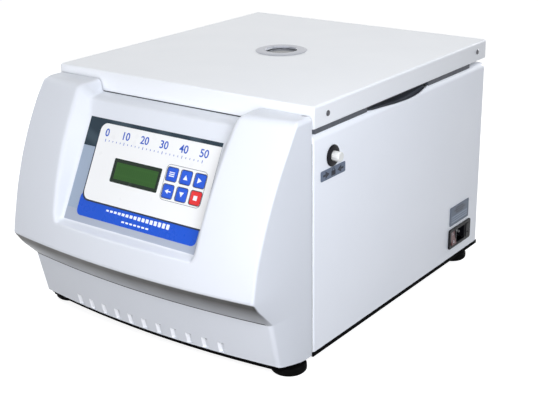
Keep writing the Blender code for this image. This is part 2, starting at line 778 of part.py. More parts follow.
def fascia_rows():
    """Rows of the fascia from its top back edge to its skirt.

    Each row is (shoulder y, z), (well y, z), half width of the well's floor, ridge x and side inset. From the
    crease down the well has the shoulder's own points, so the front is one bowed surface there.
    """
    brow = FASCIA_BROW_REACH
    rows = [((0.0, FASCIA_TOP), (0.0, LEDGE_Z), WELL_BACK_X, RIDGE_TOP_X, 0.0)]
    rows.append(((-brow * 0.8, FASCIA_TOP), (-LEDGE_REACH * 0.85, LEDGE_Z), WELL_FRONT_X, RIDGE_TOP_X, 0.0))
    front = front_arc(12)
    drop = front[0][1] - CREASE_Z
    for y, z in front:
        share = (front[0][1] - z) / drop
        ridge = RIDGE_TOP_X + (RIDGE_BOTTOM_X - RIDGE_TOP_X) * min(share, 1.0)
        inset = FASCIA_TAPER * min(share, 1.0)
        if z > CREASE_Z:
            well_z = PANEL_LOW_Z + (LEDGE_Z - FASCIA_BROW_DROP / 2 - PANEL_LOW_Z) * max(0.0, 1 - share * 1.08)
            half = WELL_X + (WELL_FRONT_X - WELL_X) * max(0.0, 1 - 6 * share)
            rows.append(((y, z), (well_floor(well_z), well_z), half, ridge, inset))
        else:
            rows.append(((y, z), None, WELL_X, RIDGE_BOTTOM_X, inset))
    for reach, z in ((GROOVE_MID_REACH, GROOVE_MID_Z), (SKIRT_TOP_REACH, SKIRT_TOP_Z),
                     (SKIRT_BOTTOM_REACH, 0.0)):
        rows.append(((-reach, z), None, WELL_X, RIDGE_BOTTOM_X, FASCIA_TAPER))
    return rows


def fascia_row_points(row):
    """One row of the right half, from the middle out to the side, back to the case and in to the flange."""
    (y, z), well, half, ridge, inset = row
    share_of_bow = min(-y / FASCIA_BROW_REACH, 1.0)
    well_share = (0.0, 0.34, 0.67, 1.0)
    points = []
    for share in well_share:
        x = half * share
        if well:
            points.append((x, well[0], well[1]))
        else:
            points.append((x, y - bow(x) * share_of_bow, z))
    side = HALF_WIDTH - inset
    corner = min(FASCIA_CORNER, -y / 2)
    start = side - corner
    for share in (0.0, 0.35, 0.7, 1.0):
        x = ridge + (start - ridge) * share
        points.append((x, y - bow(x) * share_of_bow, z))
    for cx, cy in arc((start, 0.0), corner, -60, 0, 2):
        points.append((cx, y - bow(start) * share_of_bow + corner + cy, z))
    points.append((HALF_WIDTH, 0.0, z))
    points.append((HALF_WIDTH - FASCIA_FLANGE, 0.0, z))
    return [(px, py - GAP, pz) for px, py, pz in points]


def notch_mesh():
    """Blocks for the row of shallow notches along the skirt's lower edge, each square to the skirt there."""
    lean = Matrix.Rotation(math.atan((SKIRT_TOP_REACH - SKIRT_BOTTOM_REACH) / SKIRT_TOP_Z), 4, "X")
    shape = bmesh.new()
    for i in range(NOTCH_COUNT):
        x = (i - (NOTCH_COUNT - 1) / 2) * NOTCH_PITCH
        block = bmesh.new()
        add_box(block, (-NOTCH_WIDTH / 2, -OVERRUN, -OVERRUN), (NOTCH_WIDTH / 2, NOTCH_DEPTH, NOTCH_HEIGHT))
        follow = Matrix.Rotation(math.atan(2 * FASCIA_BOW * x / HALF_WIDTH ** 2), 4, "Z")
        seat = Matrix.Translation((x, -SKIRT_BOTTOM_REACH - bow(x) - GAP, 0.0))
        bmesh.ops.transform(block, matrix=seat @ follow @ lean, verts=block.verts)
        part = finish_mesh(block, "notch_block")
        shape.from_mesh(part)
        bpy.data.meshes.remove(part)
    return finish_mesh(shape, "notches")


def build_fascia():
    rows = [fascia_row_points(row) for row in fascia_rows()]
    fascia = as_part(grid_mesh("front_fascia", rows), "front_fascia", "white_moulding")
    halves = fascia.modifiers.new("halves", "MIRROR")
    halves.merge_threshold = 10 * MERGE
    thicken(fascia, FASCIA_WALL)
    cut(fascia, as_cutter(notch_mesh(), "notches"))
    pocket = panel_box(PANEL_WIDTH / 2 + GAP, PANEL_HEIGHT / 2 + GAP, -PANEL_THICKNESS - GAP, OVERRUN)
    cut_boxes(fascia, "panel_pocket", pocket, parent=PANEL)
    seat = PANEL_SEAT
    window = panel_box(PANEL_WIDTH / 2 - seat, PANEL_HEIGHT / 2 - seat, -2 * FASCIA_WALL, OVERRUN)
    cut_boxes(fascia, "panel_window", window, parent=PANEL)
    build_bosses(fascia)


def panel_box(half_u, half_v, low, high, u=0.0, v=0.0):
    return ((u - half_u, v - half_v, low), (u + half_u, v + half_v, high))


def panel_centre():
    half = PANEL_HEIGHT / 2
    y = -PANEL_LOW_REACH + half * math.sin(PANEL_TILT) - GAP
    return (0.0, y, PANEL_LOW_Z + half * math.cos(PANEL_TILT))


PANEL = new_empty("control_panel_plane", panel_centre(), FRAME, (math.radians(90) - PANEL_TILT, 0.0, 0.0))


def build_bulkhead():
    """The sheet across the front of the case, which carries the fascia."""
    half = HALF_WIDTH - SHEET - GAP
    low = (-half, 0.0, 0.0)
    high = (half, SHEET, CASE_HEIGHT - SHEET - GAP)
    bulkhead = as_part(box_mesh("front_bulkhead", (low, high)), "front_bulkhead", "bare_steel")
    window = PANEL_WIDTH / 4
    cut_boxes(bulkhead, "bulkhead_window", (
        (-window, -OVERRUN, LEDGE_Z / 2), (window, SHEET + OVERRUN, LEDGE_Z / 2 + window)))
    edge = CASE_EDGE_RADIUS
    low_z = high[2] - edge
    high_z = high[2] + OVERRUN
    cut_boxes(bulkhead, "bulkhead_corners",
              ((-half - OVERRUN, -OVERRUN, low_z), (-half + edge, SHEET + OVERRUN, high_z)),
              ((half - edge, -OVERRUN, low_z), (half + OVERRUN, SHEET + OVERRUN, high_z)))


def key_places():
    """Centres of the six keys in the panel's plane, with their names."""
    places = []
    for row, v_side in enumerate((0.5, -0.5)):
        for column in (-1, 0, 1):
            u = KEY_CENTRE_U + column * KEY_PITCH_U
            v = KEY_CENTRE_V + v_side * KEY_PITCH_V
            places.append((row * 3 + column + 2, u, v))
    return places


def build_control_panel():
    corner = PLATE_CORNER
    half_u = PANEL_WIDTH / 2
    half_v = PANEL_HEIGHT / 2
    outlines = [rounded_outline((-half_u, -half_v), (half_u, half_v), corner)]
    window_u = DISPLAY_WIDTH / 2 + GAP
    window_v = DISPLAY_HEIGHT / 2 + GAP
    outlines.append(rounded_outline((DISPLAY_U - window_u, DISPLAY_V - window_v),
                                    (DISPLAY_U + window_u, DISPLAY_V + window_v), corner + GAP))
    hole = KEY_SIZE / 2 + GAP
    for _, u, v in key_places():
        outlines.append(rounded_outline((u - hole, v - hole), (u + hole, v + hole), corner + GAP))
    mesh = plate_mesh("control_overlay", outlines, PANEL_THICKNESS, (0.0, 0.0, -PANEL_THICKNESS / 2))
    as_part(mesh, "control_overlay", "overlay", PANEL)
    build_display()
    build_keys()
    build_board()


def build_display():
    """The display module, whose glass stands up into the overlay's window."""
    top = -PANEL_THICKNESS - GAP
    border = DISPLAY_BODY_BORDER
    body = panel_box(DISPLAY_WIDTH / 2 + border, DISPLAY_HEIGHT / 2 + border, top - DISPLAY_BODY_DEPTH, top,
                     DISPLAY_U, DISPLAY_V)
    module = as_part(box_mesh("display_module", body), "display_module", "display", PANEL)
    glass = rounded_outline((DISPLAY_U - DISPLAY_WIDTH / 2, DISPLAY_V - DISPLAY_HEIGHT / 2),
                            (DISPLAY_U + DISPLAY_WIDTH / 2, DISPLAY_V + DISPLAY_HEIGHT / 2), PLATE_CORNER)
    depth = PANEL_THICKNESS * 2
    raised = plate_mesh("display_glass", [glass], depth, (0.0, 0.0, -DISPLAY_SINK - depth / 2))
    cut(module, as_cutter(raised, "display_glass", PANEL), "UNION")


def build_keys():
    """Key caps with a flange that the overlay holds in."""
    cap = rounded_outline((-KEY_SIZE / 2, -KEY_SIZE / 2), (KEY_SIZE / 2, KEY_SIZE / 2), PLATE_CORNER)
    half = KEY_SIZE / 2 + KEY_FLANGE
    flange_top = -PANEL_THICKNESS - GAP
    for number, u, v in key_places():
        look = "red_key" if number == 6 else "blue_key"
        top = KEY_PROUD
        mesh = plate_mesh("key_cap", [cap], KEY_DEPTH + top, (0.0, 0.0, (top - KEY_DEPTH) / 2))
        key = as_part(mesh, "key_" + str(number), look, PANEL, (u, v, 0.0))
        block = box_mesh("key_flange", ((-half, -half, flange_top - KEY_FLANGE), (half, half, flange_top)))
        cut(key, as_cutter(block, "key_flange_" + str(number), PANEL, (u, v, 0.0)), "UNION")


def board_posts():
    u = PANEL_WIDTH / 2 - PANEL_SEAT / 2 - GAP
    v = PANEL_HEIGHT / 2 - PANEL_SEAT / 2 - GAP
    return [(a * u, b * v) for a in (-1, 1) for b in (-1, 1)]


def build_board():
    """The control board behind the well, on the fascia's four bosses."""
    top = -BOARD_DEPTH
    low = top - BOARD_THICKNESS
    half_u = PANEL_WIDTH / 2
    half_v = PANEL_HEIGHT / 2
    switch = SWITCH_SIZE / 2
    switch_top = -KEY_DEPTH - KEY_TRAVEL - GAP
    middle = top - BOARD_THICKNESS / 2
    mesh = box_mesh("control_board", panel_box(half_u, half_v, low, top))
    board = as_part(mesh, "control_board", "board", PANEL)
    switches = [panel_box(switch, switch, middle, switch_top, u, v) for _, u, v in key_places()]
    cut(board, as_cutter(box_mesh("switches", *switches), "switches", PANEL), "UNION")
    module_low = -PANEL_THICKNESS - GAP - DISPLAY_BODY_DEPTH - GAP
    carrier = panel_box(DISPLAY_WIDTH / 2, DISPLAY_HEIGHT / 2, middle, module_low, DISPLAY_U, DISPLAY_V)
    cut(board, as_cutter(box_mesh("display_header", carrier), "display_header", PANEL), "UNION")
    rods = [((u, v, low - OVERRUN), (0.0, 0.0, 1.0), BOARD_THICKNESS + 2 * OVERRUN, PIN_RADIUS + GAP)
            for u, v in board_posts()]
    cut_rods(board, "board_holes", *rods, steps=SCREW_STEPS, parent=PANEL)


def build_bosses(fascia):
    """Four bosses behind the well with pins that carry the control board."""
    board_top = -BOARD_DEPTH
    pin_low = board_top - BOARD_THICKNESS - PIN_RADIUS
    up = (0.0, 0.0, 1.0)
    inside = -FASCIA_WALL * BOSS_ROOT_SHARE
    height = inside - board_top - GAP
    bosses = [((u, v, board_top + GAP), up, height, STANDOFF_RADIUS) for u, v in board_posts()]
    pins = [((u, v, pin_low), up, inside - pin_low, PIN_RADIUS) for u, v in board_posts()]
    cut(fascia, as_cutter(rod_mesh("board_bosses", *bosses), "board_bosses", PANEL), "UNION")
    cut(fascia, as_cutter(rod_mesh("board_pins", *pins, steps=SCREW_STEPS), "board_pins", PANEL), "UNION")


def case_loaf(name, clearance):
    """The top of the case as a solid, larger all round by the clearance."""
    half = HALF_WIDTH + clearance
    outline = rounded_outline((-half, CASE_HEIGHT / 2), (half, CASE_HEIGHT + clearance),
                              CASE_EDGE_RADIUS + clearance, SMALL_STEPS)
    return plate_mesh(name, [outline], CASE_DEPTH + 2 * OVERRUN, (0.0, CASE_DEPTH / 2, 0.0), UPRIGHT)


def build_deck():
    """The dark deck under the lid, whose rim stops at the flat top where the scoops are."""
    half = HALF_WIDTH - DECK_INSET
    low_z = CASE_HEIGHT + GAP
    thickness = DECK_RIM_HEIGHT + DECK_TURN_DOWN
    outer = rounded_outline((-half, DECK_FRONT), (half, DECK_REAR), DECK_CORNER)
    mesh = plate_mesh("top_deck", [outer], thickness, (0.0, 0.0, low_z - DECK_TURN_DOWN + thickness / 2))
    deck = as_part(mesh, "top_deck", "dark_moulding")
    cut(deck, as_cutter(case_loaf("deck_seat", GAP), "deck_seat"))
    flat = HALF_WIDTH - CASE_EDGE_RADIUS
    rear = SCOOP_FRONT + SCOOP_LENGTH
    cut_boxes(deck, "deck_notches", *[
        ((min(side * flat, side * HALF_WIDTH), SCOOP_FRONT, low_z - DECK_TURN_DOWN - OVERRUN),
         (max(side * flat, side * HALF_WIDTH), rear, low_z + DECK_RIM_HEIGHT + OVERRUN)) for side in (-1, 1)])
    rim = DECK_RIM_WIDTH
    inner = rounded_outline((-half + rim, DECK_FRONT + rim), (half - rim, DECK_REAR - rim), DECK_CORNER - rim)
    depth = DECK_RIM_HEIGHT - DECK_PLATE + OVERRUN
    tray = plate_mesh("deck_tray", [inner], depth, (0.0, 0.0, DECK_TOP + depth / 2))
    cut(deck, as_cutter(tray, "deck_tray"))
    start = (0.0, ROTOR_Y, low_z - OVERRUN)
    bore = (start, (0.0, 0.0, 1.0), DECK_RIM_HEIGHT + 2 * OVERRUN, BOWL_RADIUS + BOWL_WALL + BOWL_WALL)
    cut_rods(deck, "deck_bore", bore, steps=2 * ROUND_STEPS)
    half_striker = STRIKER_WIDTH / 2
    cut_boxes(deck, "striker_slot", (
        (STRIKER_X - OVERRUN, LOCK_Y - half_striker - STRIKER_SLOT_AHEAD, low_z - OVERRUN),
        (STRIKER_X + STRIKER_THICKNESS + OVERRUN, LOCK_Y + half_striker + STRIKER_SLOT_BEHIND,
         low_z + DECK_RIM_HEIGHT + OVERRUN)))


def build_bowl():
    top = BOWL_FLANGE_TOP
    outer = BOWL_RADIUS + BOWL_WALL
    floor = BOWL_FLOOR
    under = floor - BOWL_WALL
    corner = BOWL_CORNER
    profile = [(outer + BOWL_FLANGE, top), (outer + BOWL_FLANGE, top - BOWL_WALL), (outer, top - BOWL_WALL)]
    profile += arc((outer - corner, under + corner), corner, 0, -90, 3)
    profile += [(BOWL_HOLE, under), (BOWL_HOLE, floor)]
    inner = corner - BOWL_WALL
    profile += arc((BOWL_RADIUS - inner, floor + inner), inner, -90, 0, 3)
    profile.append((BOWL_RADIUS, top))
    turned("chamber_bowl", profile, "bare_steel", place=(0.0, ROTOR_Y, 0.0), steps=2 * ROUND_STEPS)


def build_motor():
    """The motor hangs in a plate, which rests on a rubber ring on a four-legged frame."""
    place = (0.0, ROTOR_Y, 0.0)
    plate_low = MOTOR_PLATE_TOP - MOTOR_PLATE_THICKNESS
    boss_hole = MOTOR_BOSS_RADIUS + GAP
    profile = [(MOTOR_PLATE_RADIUS, MOTOR_PLATE_TOP), (MOTOR_PLATE_RADIUS, plate_low), (boss_hole, plate_low),
               (boss_hole, MOTOR_PLATE_TOP)]
    turned("motor_plate", profile, "bare_steel", place=place, steps=2 * ROUND_STEPS)
    body_top = plate_low - GAP
    body_low = body_top - MOTOR_HEIGHT
    bore = SHAFT_RADIUS + GAP
    edge = MOTOR_RADIUS * MOTOR_EDGE_SHARE
    boss_top = MOTOR_PLATE_TOP + MOTOR_BOSS_HEIGHT
    profile = [(MOTOR_BOSS_RADIUS, boss_top), (MOTOR_BOSS_RADIUS, body_top),
               (MOTOR_RADIUS - edge, body_top), (MOTOR_RADIUS, body_top - edge),
               (MOTOR_RADIUS, body_low + edge), (MOTOR_RADIUS - edge, body_low), (bore, body_low),
               (bore, boss_top)]
    turned("motor_body", profile, "aluminium", place=place)
    ring_high = plate_low - GAP
    ring_low = ring_high - DAMPER_HEIGHT
    outer = MOTOR_PLATE_RADIUS
    inner = MOTOR_PLATE_RADIUS - DAMPER_WIDTH
    profile = [(outer, ring_high), (outer, ring_low), (inner, ring_low), (inner, ring_high)]
    turned("motor_damper", profile, "rubber", place=place, steps=2 * ROUND_STEPS)
    build_motor_frame(ring_low - GAP, inner, outer)
    build_boot(boss_top)


def build_motor_frame(top, inner, outer):
    low = top - MOTOR_PLATE_THICKNESS
    profile = [(outer, top), (outer, low), (inner, low), (inner, top)]
    frame = turned("motor_frame", profile, "black_steel", place=(0.0, ROTOR_Y, 0.0), steps=2 * ROUND_STEPS)
    reach = (inner + outer) / 2 * math.sqrt(0.5)
    floor = PAN_FLOOR + GAP
    height = low + MOTOR_PLATE_THICKNESS / 2 - floor
    legs = [((a * reach, ROTOR_Y + b * reach, floor), (0.0, 0.0, 1.0), height, LEG_RADIUS)
            for a in (-1, 1) for b in (-1, 1)]
    cut(frame, as_cutter(rod_mesh("frame_legs", *legs), "frame_legs"), "UNION")


def build_boot(boss_top):
    """A rubber sleeve between the motor's boss and the hole in the bowl."""
    low = boss_top + GAP
    under = BOWL_FLOOR - BOWL_WALL - GAP
    waist = BOWL_HOLE - GAP
    lip = waist + BOOT_LIP
    top = BOWL_FLOOR + BOOT_LIP
    lip_low = under - BOOT_LIP / 2
    profile = [(waist, top), (waist, under), (lip, under), (lip, lip_low), (waist, lip_low), (waist, low),
               (BOOT_BORE, low), (BOOT_BORE, top)]
    turned("shaft_boot", profile, "rubber", place=(0.0, ROTOR_Y, 0.0))


def build_rotor():
    axis_place = (0.0, ROTOR_Y, 0.0)
    spin = new_empty("rotor_axis", axis_place, FRAME)
    profile = [(0.0, SHAFT_TOP), (SHAFT_RADIUS, SHAFT_TOP), (SHAFT_RADIUS, SHAFT_BOTTOM), (0.0, SHAFT_BOTTOM)]
    turned("drive_shaft", profile, "bare_steel", spin, closed=False, steps=SMALL_STEPS)
    build_fan(spin)
    build_yoke(spin)
    hub_top = PIVOT_Z + YOKE_THICKNESS / 2 + HUB_ABOVE
    low = hub_top + GAP
    high = low + NUT_HEIGHT
    bore = SHAFT_RADIUS + GAP
    blind = SHAFT_TOP + GAP
    edge = NUT_RADIUS * 0.12
    profile = [(0.0, high), (NUT_RADIUS - edge, high), (NUT_RADIUS, high - edge), (NUT_RADIUS, low),
               (bore, low), (bore, blind), (0.0, blind)]
    turned("rotor_nut", profile, "aluminium", spin, closed=False, steps=SMALL_STEPS)
    for number in range(BUCKET_COUNT):
        build_bucket(number + 1, 2 * math.pi * number / BUCKET_COUNT, spin)


def build_fan(spin):
    low = SHAFT_BOTTOM + OVERRUN
    bore = SHAFT_RADIUS + GAP
    high = low + FAN_HEIGHT
    profile = [(FAN_HUB_RADIUS, high), (FAN_HUB_RADIUS, low), (bore, low), (bore, high)]
    fan = turned("cooling_fan", profile, "black_moulding", spin, steps=SMALL_STEPS)
    shape = bmesh.new()
    pitch = math.radians(28)
    root = (FAN_HUB_RADIUS + bore) / 2
    for i in range(FAN_BLADES):
        blade = bmesh.new()
        half = FAN_BLADE_THICKNESS / 2
        span = FAN_HEIGHT * 0.42
        add_box(blade, (root, -span, -half), (FAN_RADIUS, span, half))
        raised = Matrix.Translation((0.0, 0.0, (low + high) / 2)) @ Matrix.Rotation(pitch, 4, "X")
        turn = Matrix.Rotation(2 * math.pi * i / FAN_BLADES, 4, "Z")
        bmesh.ops.transform(blade, matrix=turn @ raised, verts=blade.verts)
        part = finish_mesh(blade, "blade")
        shape.from_mesh(part)
        bpy.data.meshes.remove(part)
    cut(fan, as_cutter(finish_mesh(shape, "fan_blades"), "fan_blades", spin), "UNION")


def around(angle, point):
    return Matrix.Rotation(angle, 3, "Z") @ Vector(point)


def build_yoke(spin):
    """The rotor head: a thick disc with four open notches, a hub, and trunnions in each notch."""
    low = PIVOT_Z - YOKE_THICKNESS / 2
    up = (0.0, 0.0, 1.0)
    disc = rod_mesh("rotor_head", ((0.0, 0.0, low), up, YOKE_THICKNESS, YOKE_RADIUS), steps=2 * ROUND_STEPS)
    yoke = as_part(disc, "rotor_head", "aluminium", spin)
    shape = bmesh.new()
    pins = bmesh.new()
    for i in range(BUCKET_COUNT):
        angle = 2 * math.pi * i / BUCKET_COUNT
        notch = bmesh.new()
        add_box(notch, (YOKE_NOTCH, -YOKE_NOTCH_HALF, low - OVERRUN),
                (YOKE_RADIUS + OVERRUN, YOKE_NOTCH_HALF, low + YOKE_THICKNESS + OVERRUN))
        bmesh.ops.rotate(notch, verts=notch.verts, matrix=Matrix.Rotation(angle, 3, "Z"))
        part = finish_mesh(notch, "notch")
        shape.from_mesh(part)
        bpy.data.meshes.remove(part)
        for side in (-1, 1):
            start = around(angle, (PIVOT_RING, side * (YOKE_NOTCH_HALF + TRUNNION_LENGTH), PIVOT_Z))
            add_rod(pins, start, around(angle, (0.0, -side, 0.0)), 2 * TRUNNION_LENGTH, TRUNNION_RADIUS)
    cut(yoke, as_cutter(finish_mesh(shape, "yoke_notches"), "yoke_notches", spin))
    cut(yoke, as_cutter(finish_mesh(pins, "trunnions"), "trunnions", spin), "UNION")
    length = HUB_BELOW + YOKE_THICKNESS + HUB_ABOVE
    hub_low = low - HUB_BELOW
    hub = rod_mesh("rotor_hub", ((0.0, 0.0, hub_low), up, length, HUB_RADIUS), steps=ROUND_STEPS)
    cut(yoke, as_cutter(hub, "rotor_hub", spin), "UNION")
    bore = ((0.0, 0.0, hub_low - OVERRUN), up, length + 2 * OVERRUN, SHAFT_RADIUS + GAP)
    cut_rods(yoke, "hub_bore", bore, parent=spin)


def build_bucket(number, angle, spin):
    """A cup that hangs from its trunnions and swings out as the rotor turns."""
    pivot = around(angle, (PIVOT_RING, 0.0, PIVOT_Z))
    hinge = new_empty("bucket_pivot_" + str(number), pivot, spin, (0.0, 0.0, angle))
    inner = BUCKET_RADIUS - BUCKET_WALL
    collar = BUCKET_RADIUS + BUCKET_COLLAR
    edge = BUCKET_RADIUS * 0.2
    floor = BUCKET_BOTTOM - BUCKET_BELOW
    profile = [(collar, BUCKET_ABOVE), (collar, -BUCKET_ABOVE), (BUCKET_RADIUS, -BUCKET_ABOVE),
               (BUCKET_RADIUS, edge - BUCKET_BELOW), (BUCKET_RADIUS - edge, -BUCKET_BELOW),
               (0.0, -BUCKET_BELOW), (0.0, floor), (inner - edge, floor), (inner, floor + edge),
               (inner, BUCKET_ABOVE)]
    name = "bucket_" + str(number)
    bucket = turned(name, profile, "aluminium", hinge, steps=MEDIUM_STEPS)
    reach = YOKE_NOTCH_HALF - GAP * 2
    half = BUCKET_BOSS_WIDTH / 2
    bosses = [((-half, side * (inner + BUCKET_WALL / 2), -BUCKET_ABOVE), (half, side * reach, BUCKET_ABOVE))
              for side in (-1, 1)]
    bosses = [((a[0], min(a[1], b[1]), a[2]), (b[0], max(a[1], b[1]), b[2])) for a, b in bosses]
    blocks = as_cutter(box_mesh("bucket_bosses", *bosses), "bucket_bosses_" + str(number), hinge)
    cut(bucket, blocks, "UNION")
    depth = TRUNNION_LENGTH + GAP
    start = YOKE_NOTCH_HALF - depth
    rods = [((0.0, side * start, 0.0), (0.0, side, 0.0), depth + OVERRUN, TRUNNION_RADIUS + GAP)
            for side in (-1, 1)]
    cut_rods(bucket, "bucket_eyes_" + str(number), *rods, parent=hinge)


def lid_box():
    return ((-HALF_WIDTH, LID_FRONT, LID_BOTTOM), (HALF_WIDTH, CASE_DEPTH, LID_TOP))


def open_tray(name, low, high, open_top):
    """A box surface without its top or its bottom face."""
    shape = bmesh.new()
    add_box(shape, low, high)
    way = 1 if open_top else -1
    gone = [face for face in shape.faces if face.normal.z * way > 0.5]
    bmesh.ops.delete(shape, geom=gone, context="FACES_ONLY")
    return finish_mesh(shape, name)


def lid_screw_rods(radius, start, length):
    z = LID_BOTTOM + LID_SCREW_RISE
    return [((side * start, y, z), (side, 0.0, 0.0), length, radius) for side in (-1, 1) for y in LID_SCREW_Y]


def build_lid():
    swing = new_empty("lid_axis", (0.0, HINGE_Y, HINGE_Z), FRAME)
    hold = new_empty("lid_parts", (0.0, -HINGE_Y, -HINGE_Z), swing)
    low, high = lid_box()
    cover = as_part(open_tray("lid_cover", low, high, False), "lid_cover", "white_coat", hold)
    soften(cover, LID_EDGE_RADIUS, 2)
    thicken(cover, SHEET)
    inner = SHEET + GAP
    liner_low = (low[0] + inner, low[1] + inner, LINER_Z)
    liner_high = (high[0] - inner, high[1] - inner, LINER_Z + LINER_WALL)
    liner = as_part(open_tray("lid_liner", liner_low, liner_high, True), "lid_liner", "white_coat", hold)
    soften(liner, LID_EDGE_RADIUS, 1)
    thicken(liner, SHEET)
    up = (0.0, 0.0, 1.0)
    bore = SIGHT_TUBE_RADIUS + GAP
    for sheet, z in ((cover, LID_TOP), (liner, LINER_Z)):
        rod = ((0.0, ROTOR_Y, z - 2 * OVERRUN), up, 4 * OVERRUN, bore)
        cut_rods(sheet, "sight_hole_" + sheet.name, rod, steps=ROUND_STEPS, parent=hold)
        holes = lid_screw_rods(SCREW_RADIUS + GAP, HALF_WIDTH - 4 * SHEET, 6 * SHEET)
        cut_rods(sheet, "lid_screw_holes_" + sheet.name, *holes, steps=SCREW_STEPS, parent=hold)
    for number, (start, axis, _, _) in enumerate(lid_screw_rods(0.0, HALF_WIDTH + GAP, 0.0)):
        name = "lid_screw_" + str(number + 1)
        build_screw(name, hold, start, axis)
    build_sight(hold)
    build_lid_seal(hold)
    build_striker(hold)
    return hold


def build_sight(hold):
    place = (0.0, ROTOR_Y, 0.0)
    seat = LID_TOP + GAP
    top = seat + SIGHT_RING_THICKNESS
    glass_top = LID_TOP - SIGHT_GLASS_DROP
    glass_low = glass_top - SIGHT_GLASS_THICKNESS
    spigot_low = glass_top + GAP
    edge = SIGHT_RING_THICKNESS / 2
    profile = [(SIGHT_RING_RADIUS - edge, top), (SIGHT_RING_RADIUS, seat), (SIGHT_TUBE_RADIUS, seat),
               (SIGHT_TUBE_RADIUS, spigot_low), (SIGHT_RING_BORE, spigot_low), (SIGHT_RING_BORE, top - edge),
               (SIGHT_RING_BORE + edge, top)]
    turned("sight_ring", profile, "grey_plate", hold, place)
    profile = [(0.0, glass_top), (SIGHT_TUBE_RADIUS, glass_top), (SIGHT_TUBE_RADIUS, glass_low),
               (0.0, glass_low)]
    turned("sight_glass", profile, "clear", hold, place, closed=False)
    tube_low = LINER_Z - SIGHT_RING_THICKNESS - GAP
    profile = [(SIGHT_TUBE_RADIUS, glass_low - GAP), (SIGHT_TUBE_RADIUS, LINER_Z - GAP),
               (SIGHT_RING_RADIUS, LINER_Z - GAP), (SIGHT_RING_RADIUS, tube_low), (SIGHT_TUBE_BORE, tube_low),
               (SIGHT_TUBE_BORE, glass_low - GAP)]
    turned("sight_tube", profile, "dark_moulding", hold, place)


def build_lid_seal(hold):
    top = LINER_Z - GAP
    low = BOWL_FLANGE_TOP + GAP
    outer = LID_SEAL_RADIUS + LID_SEAL_WIDTH
    edge = LID_SEAL_WIDTH * 0.2
    profile = [(outer, top), (outer, low + edge), (outer - edge, low), (LID_SEAL_RADIUS + edge, low),
               (LID_SEAL_RADIUS, low + edge), (LID_SEAL_RADIUS, top)]
    turned("lid_seal", profile, "rubber", hold, (0.0, ROTOR_Y, 0.0), steps=2 * ROUND_STEPS)


def build_striker(hold):
    """The strap under the lid; the lock's rod enters the eye near its lower end."""
    top = LINER_Z - GAP
    low = LOCK_Z - STRIKER_TAIL
    half = STRIKER_WIDTH / 2
    strap_high = STRIKER_X + STRIKER_THICKNESS
    strap = ((STRIKER_X, LOCK_Y - half, low), (strap_high, LOCK_Y + half, top))
    striker = as_part(box_mesh("lid_striker", strap), "lid_striker", "bare_steel", hold)
    foot = ((STRIKER_X - STRIKER_FOOT, LOCK_Y - half, top - STRIKER_THICKNESS / 2),
            (STRIKER_X + STRIKER_THICKNESS / 2, LOCK_Y + half, top))
    cut(striker, as_cutter(box_mesh("striker_foot", foot), "striker_foot", hold), "UNION")
    rod = ((STRIKER_X - OVERRUN, LOCK_Y, LOCK_Z), (1.0, 0.0, 0.0), STRIKER_THICKNESS + 2 * OVERRUN,
           STRIKER_EYE_RADIUS)
    cut_rods(striker, "striker_eye", rod, parent=hold)


def knuckle_rods(first, radius):
    """Every second knuckle of the hinge, from the first or the second one on."""
    pitch = HINGE_WIDTH / HINGE_KNUCKLES
    rods = []
    for i in range(first, HINGE_KNUCKLES, 2):
        start = -HINGE_WIDTH / 2 + i * pitch
        rods.append(((start + GAP / 2, HINGE_Y, HINGE_Z), (1.0, 0.0, 0.0), pitch - GAP, radius))
    return rods


def web_boxes(first, low, high):
    """The tabs that join those knuckles to their leaf."""
    leaf_y = CASE_DEPTH + GAP
    return [((start[0], leaf_y, low), (start[0] + length, leaf_y + HINGE_LEAF, high))
            for start, _, length, _ in knuckle_rods(first, HINGE_BARREL_RADIUS)]


def build_hinge(hold):
    """A long hinge on the rear: a leaf on the case, a leaf on the lid, and a pin."""
    half = HINGE_WIDTH / 2
    leaf_y = CASE_DEPTH + GAP
    leaf_back = leaf_y + HINGE_LEAF
    top_z = HINGE_Z - HINGE_BARREL_RADIUS - GAP
    low_z = top_z - HINGE_LEAF_HEIGHT
    pin_start = (-half, HINGE_Y, HINGE_Z)
    along = (1.0, 0.0, 0.0)
    bore = ((-half - OVERRUN, HINGE_Y, HINGE_Z), along, HINGE_WIDTH + 2 * OVERRUN, HINGE_PIN_RADIUS + GAP)
    lower = as_part(box_mesh("hinge_leaf", ((-half, leaf_y, low_z), (half, leaf_back, top_z))),
                    "hinge_leaf", "bare_steel")
    join_knuckles(lower, 0, web_boxes(0, top_z - HINGE_LEAF, HINGE_Z), bore, FRAME)
    upper_low = HINGE_Z + HINGE_BARREL_RADIUS + GAP
    upper = as_part(box_mesh("lid_hinge_leaf", (
        (-half, leaf_y, upper_low), (half, leaf_back, upper_low + HINGE_LEAF_HEIGHT / 2))),
        "lid_hinge_leaf", "bare_steel", hold)
    join_knuckles(upper, 1, web_boxes(1, HINGE_Z, upper_low + HINGE_LEAF), bore, hold)
    pin = rod_mesh("hinge_pin", (pin_start, along, HINGE_WIDTH, HINGE_PIN_RADIUS))
    as_part(pin, "hinge_pin", "bare_steel")


def join_knuckles(leaf, first, webs, bore, parent):
    cut(leaf, as_cutter(box_mesh("hinge_webs", *webs), "hinge_webs_" + leaf.name, parent), "UNION")
    barrels = rod_mesh("hinge_barrels", *knuckle_rods(first, HINGE_BARREL_RADIUS))
    cut(leaf, as_cutter(barrels, "hinge_barrels_" + leaf.name, parent), "UNION")
    cut_rods(leaf, "hinge_bore_" + leaf.name, bore, parent=parent)


TURN_OUT = (0.0, math.radians(90), 0.0)


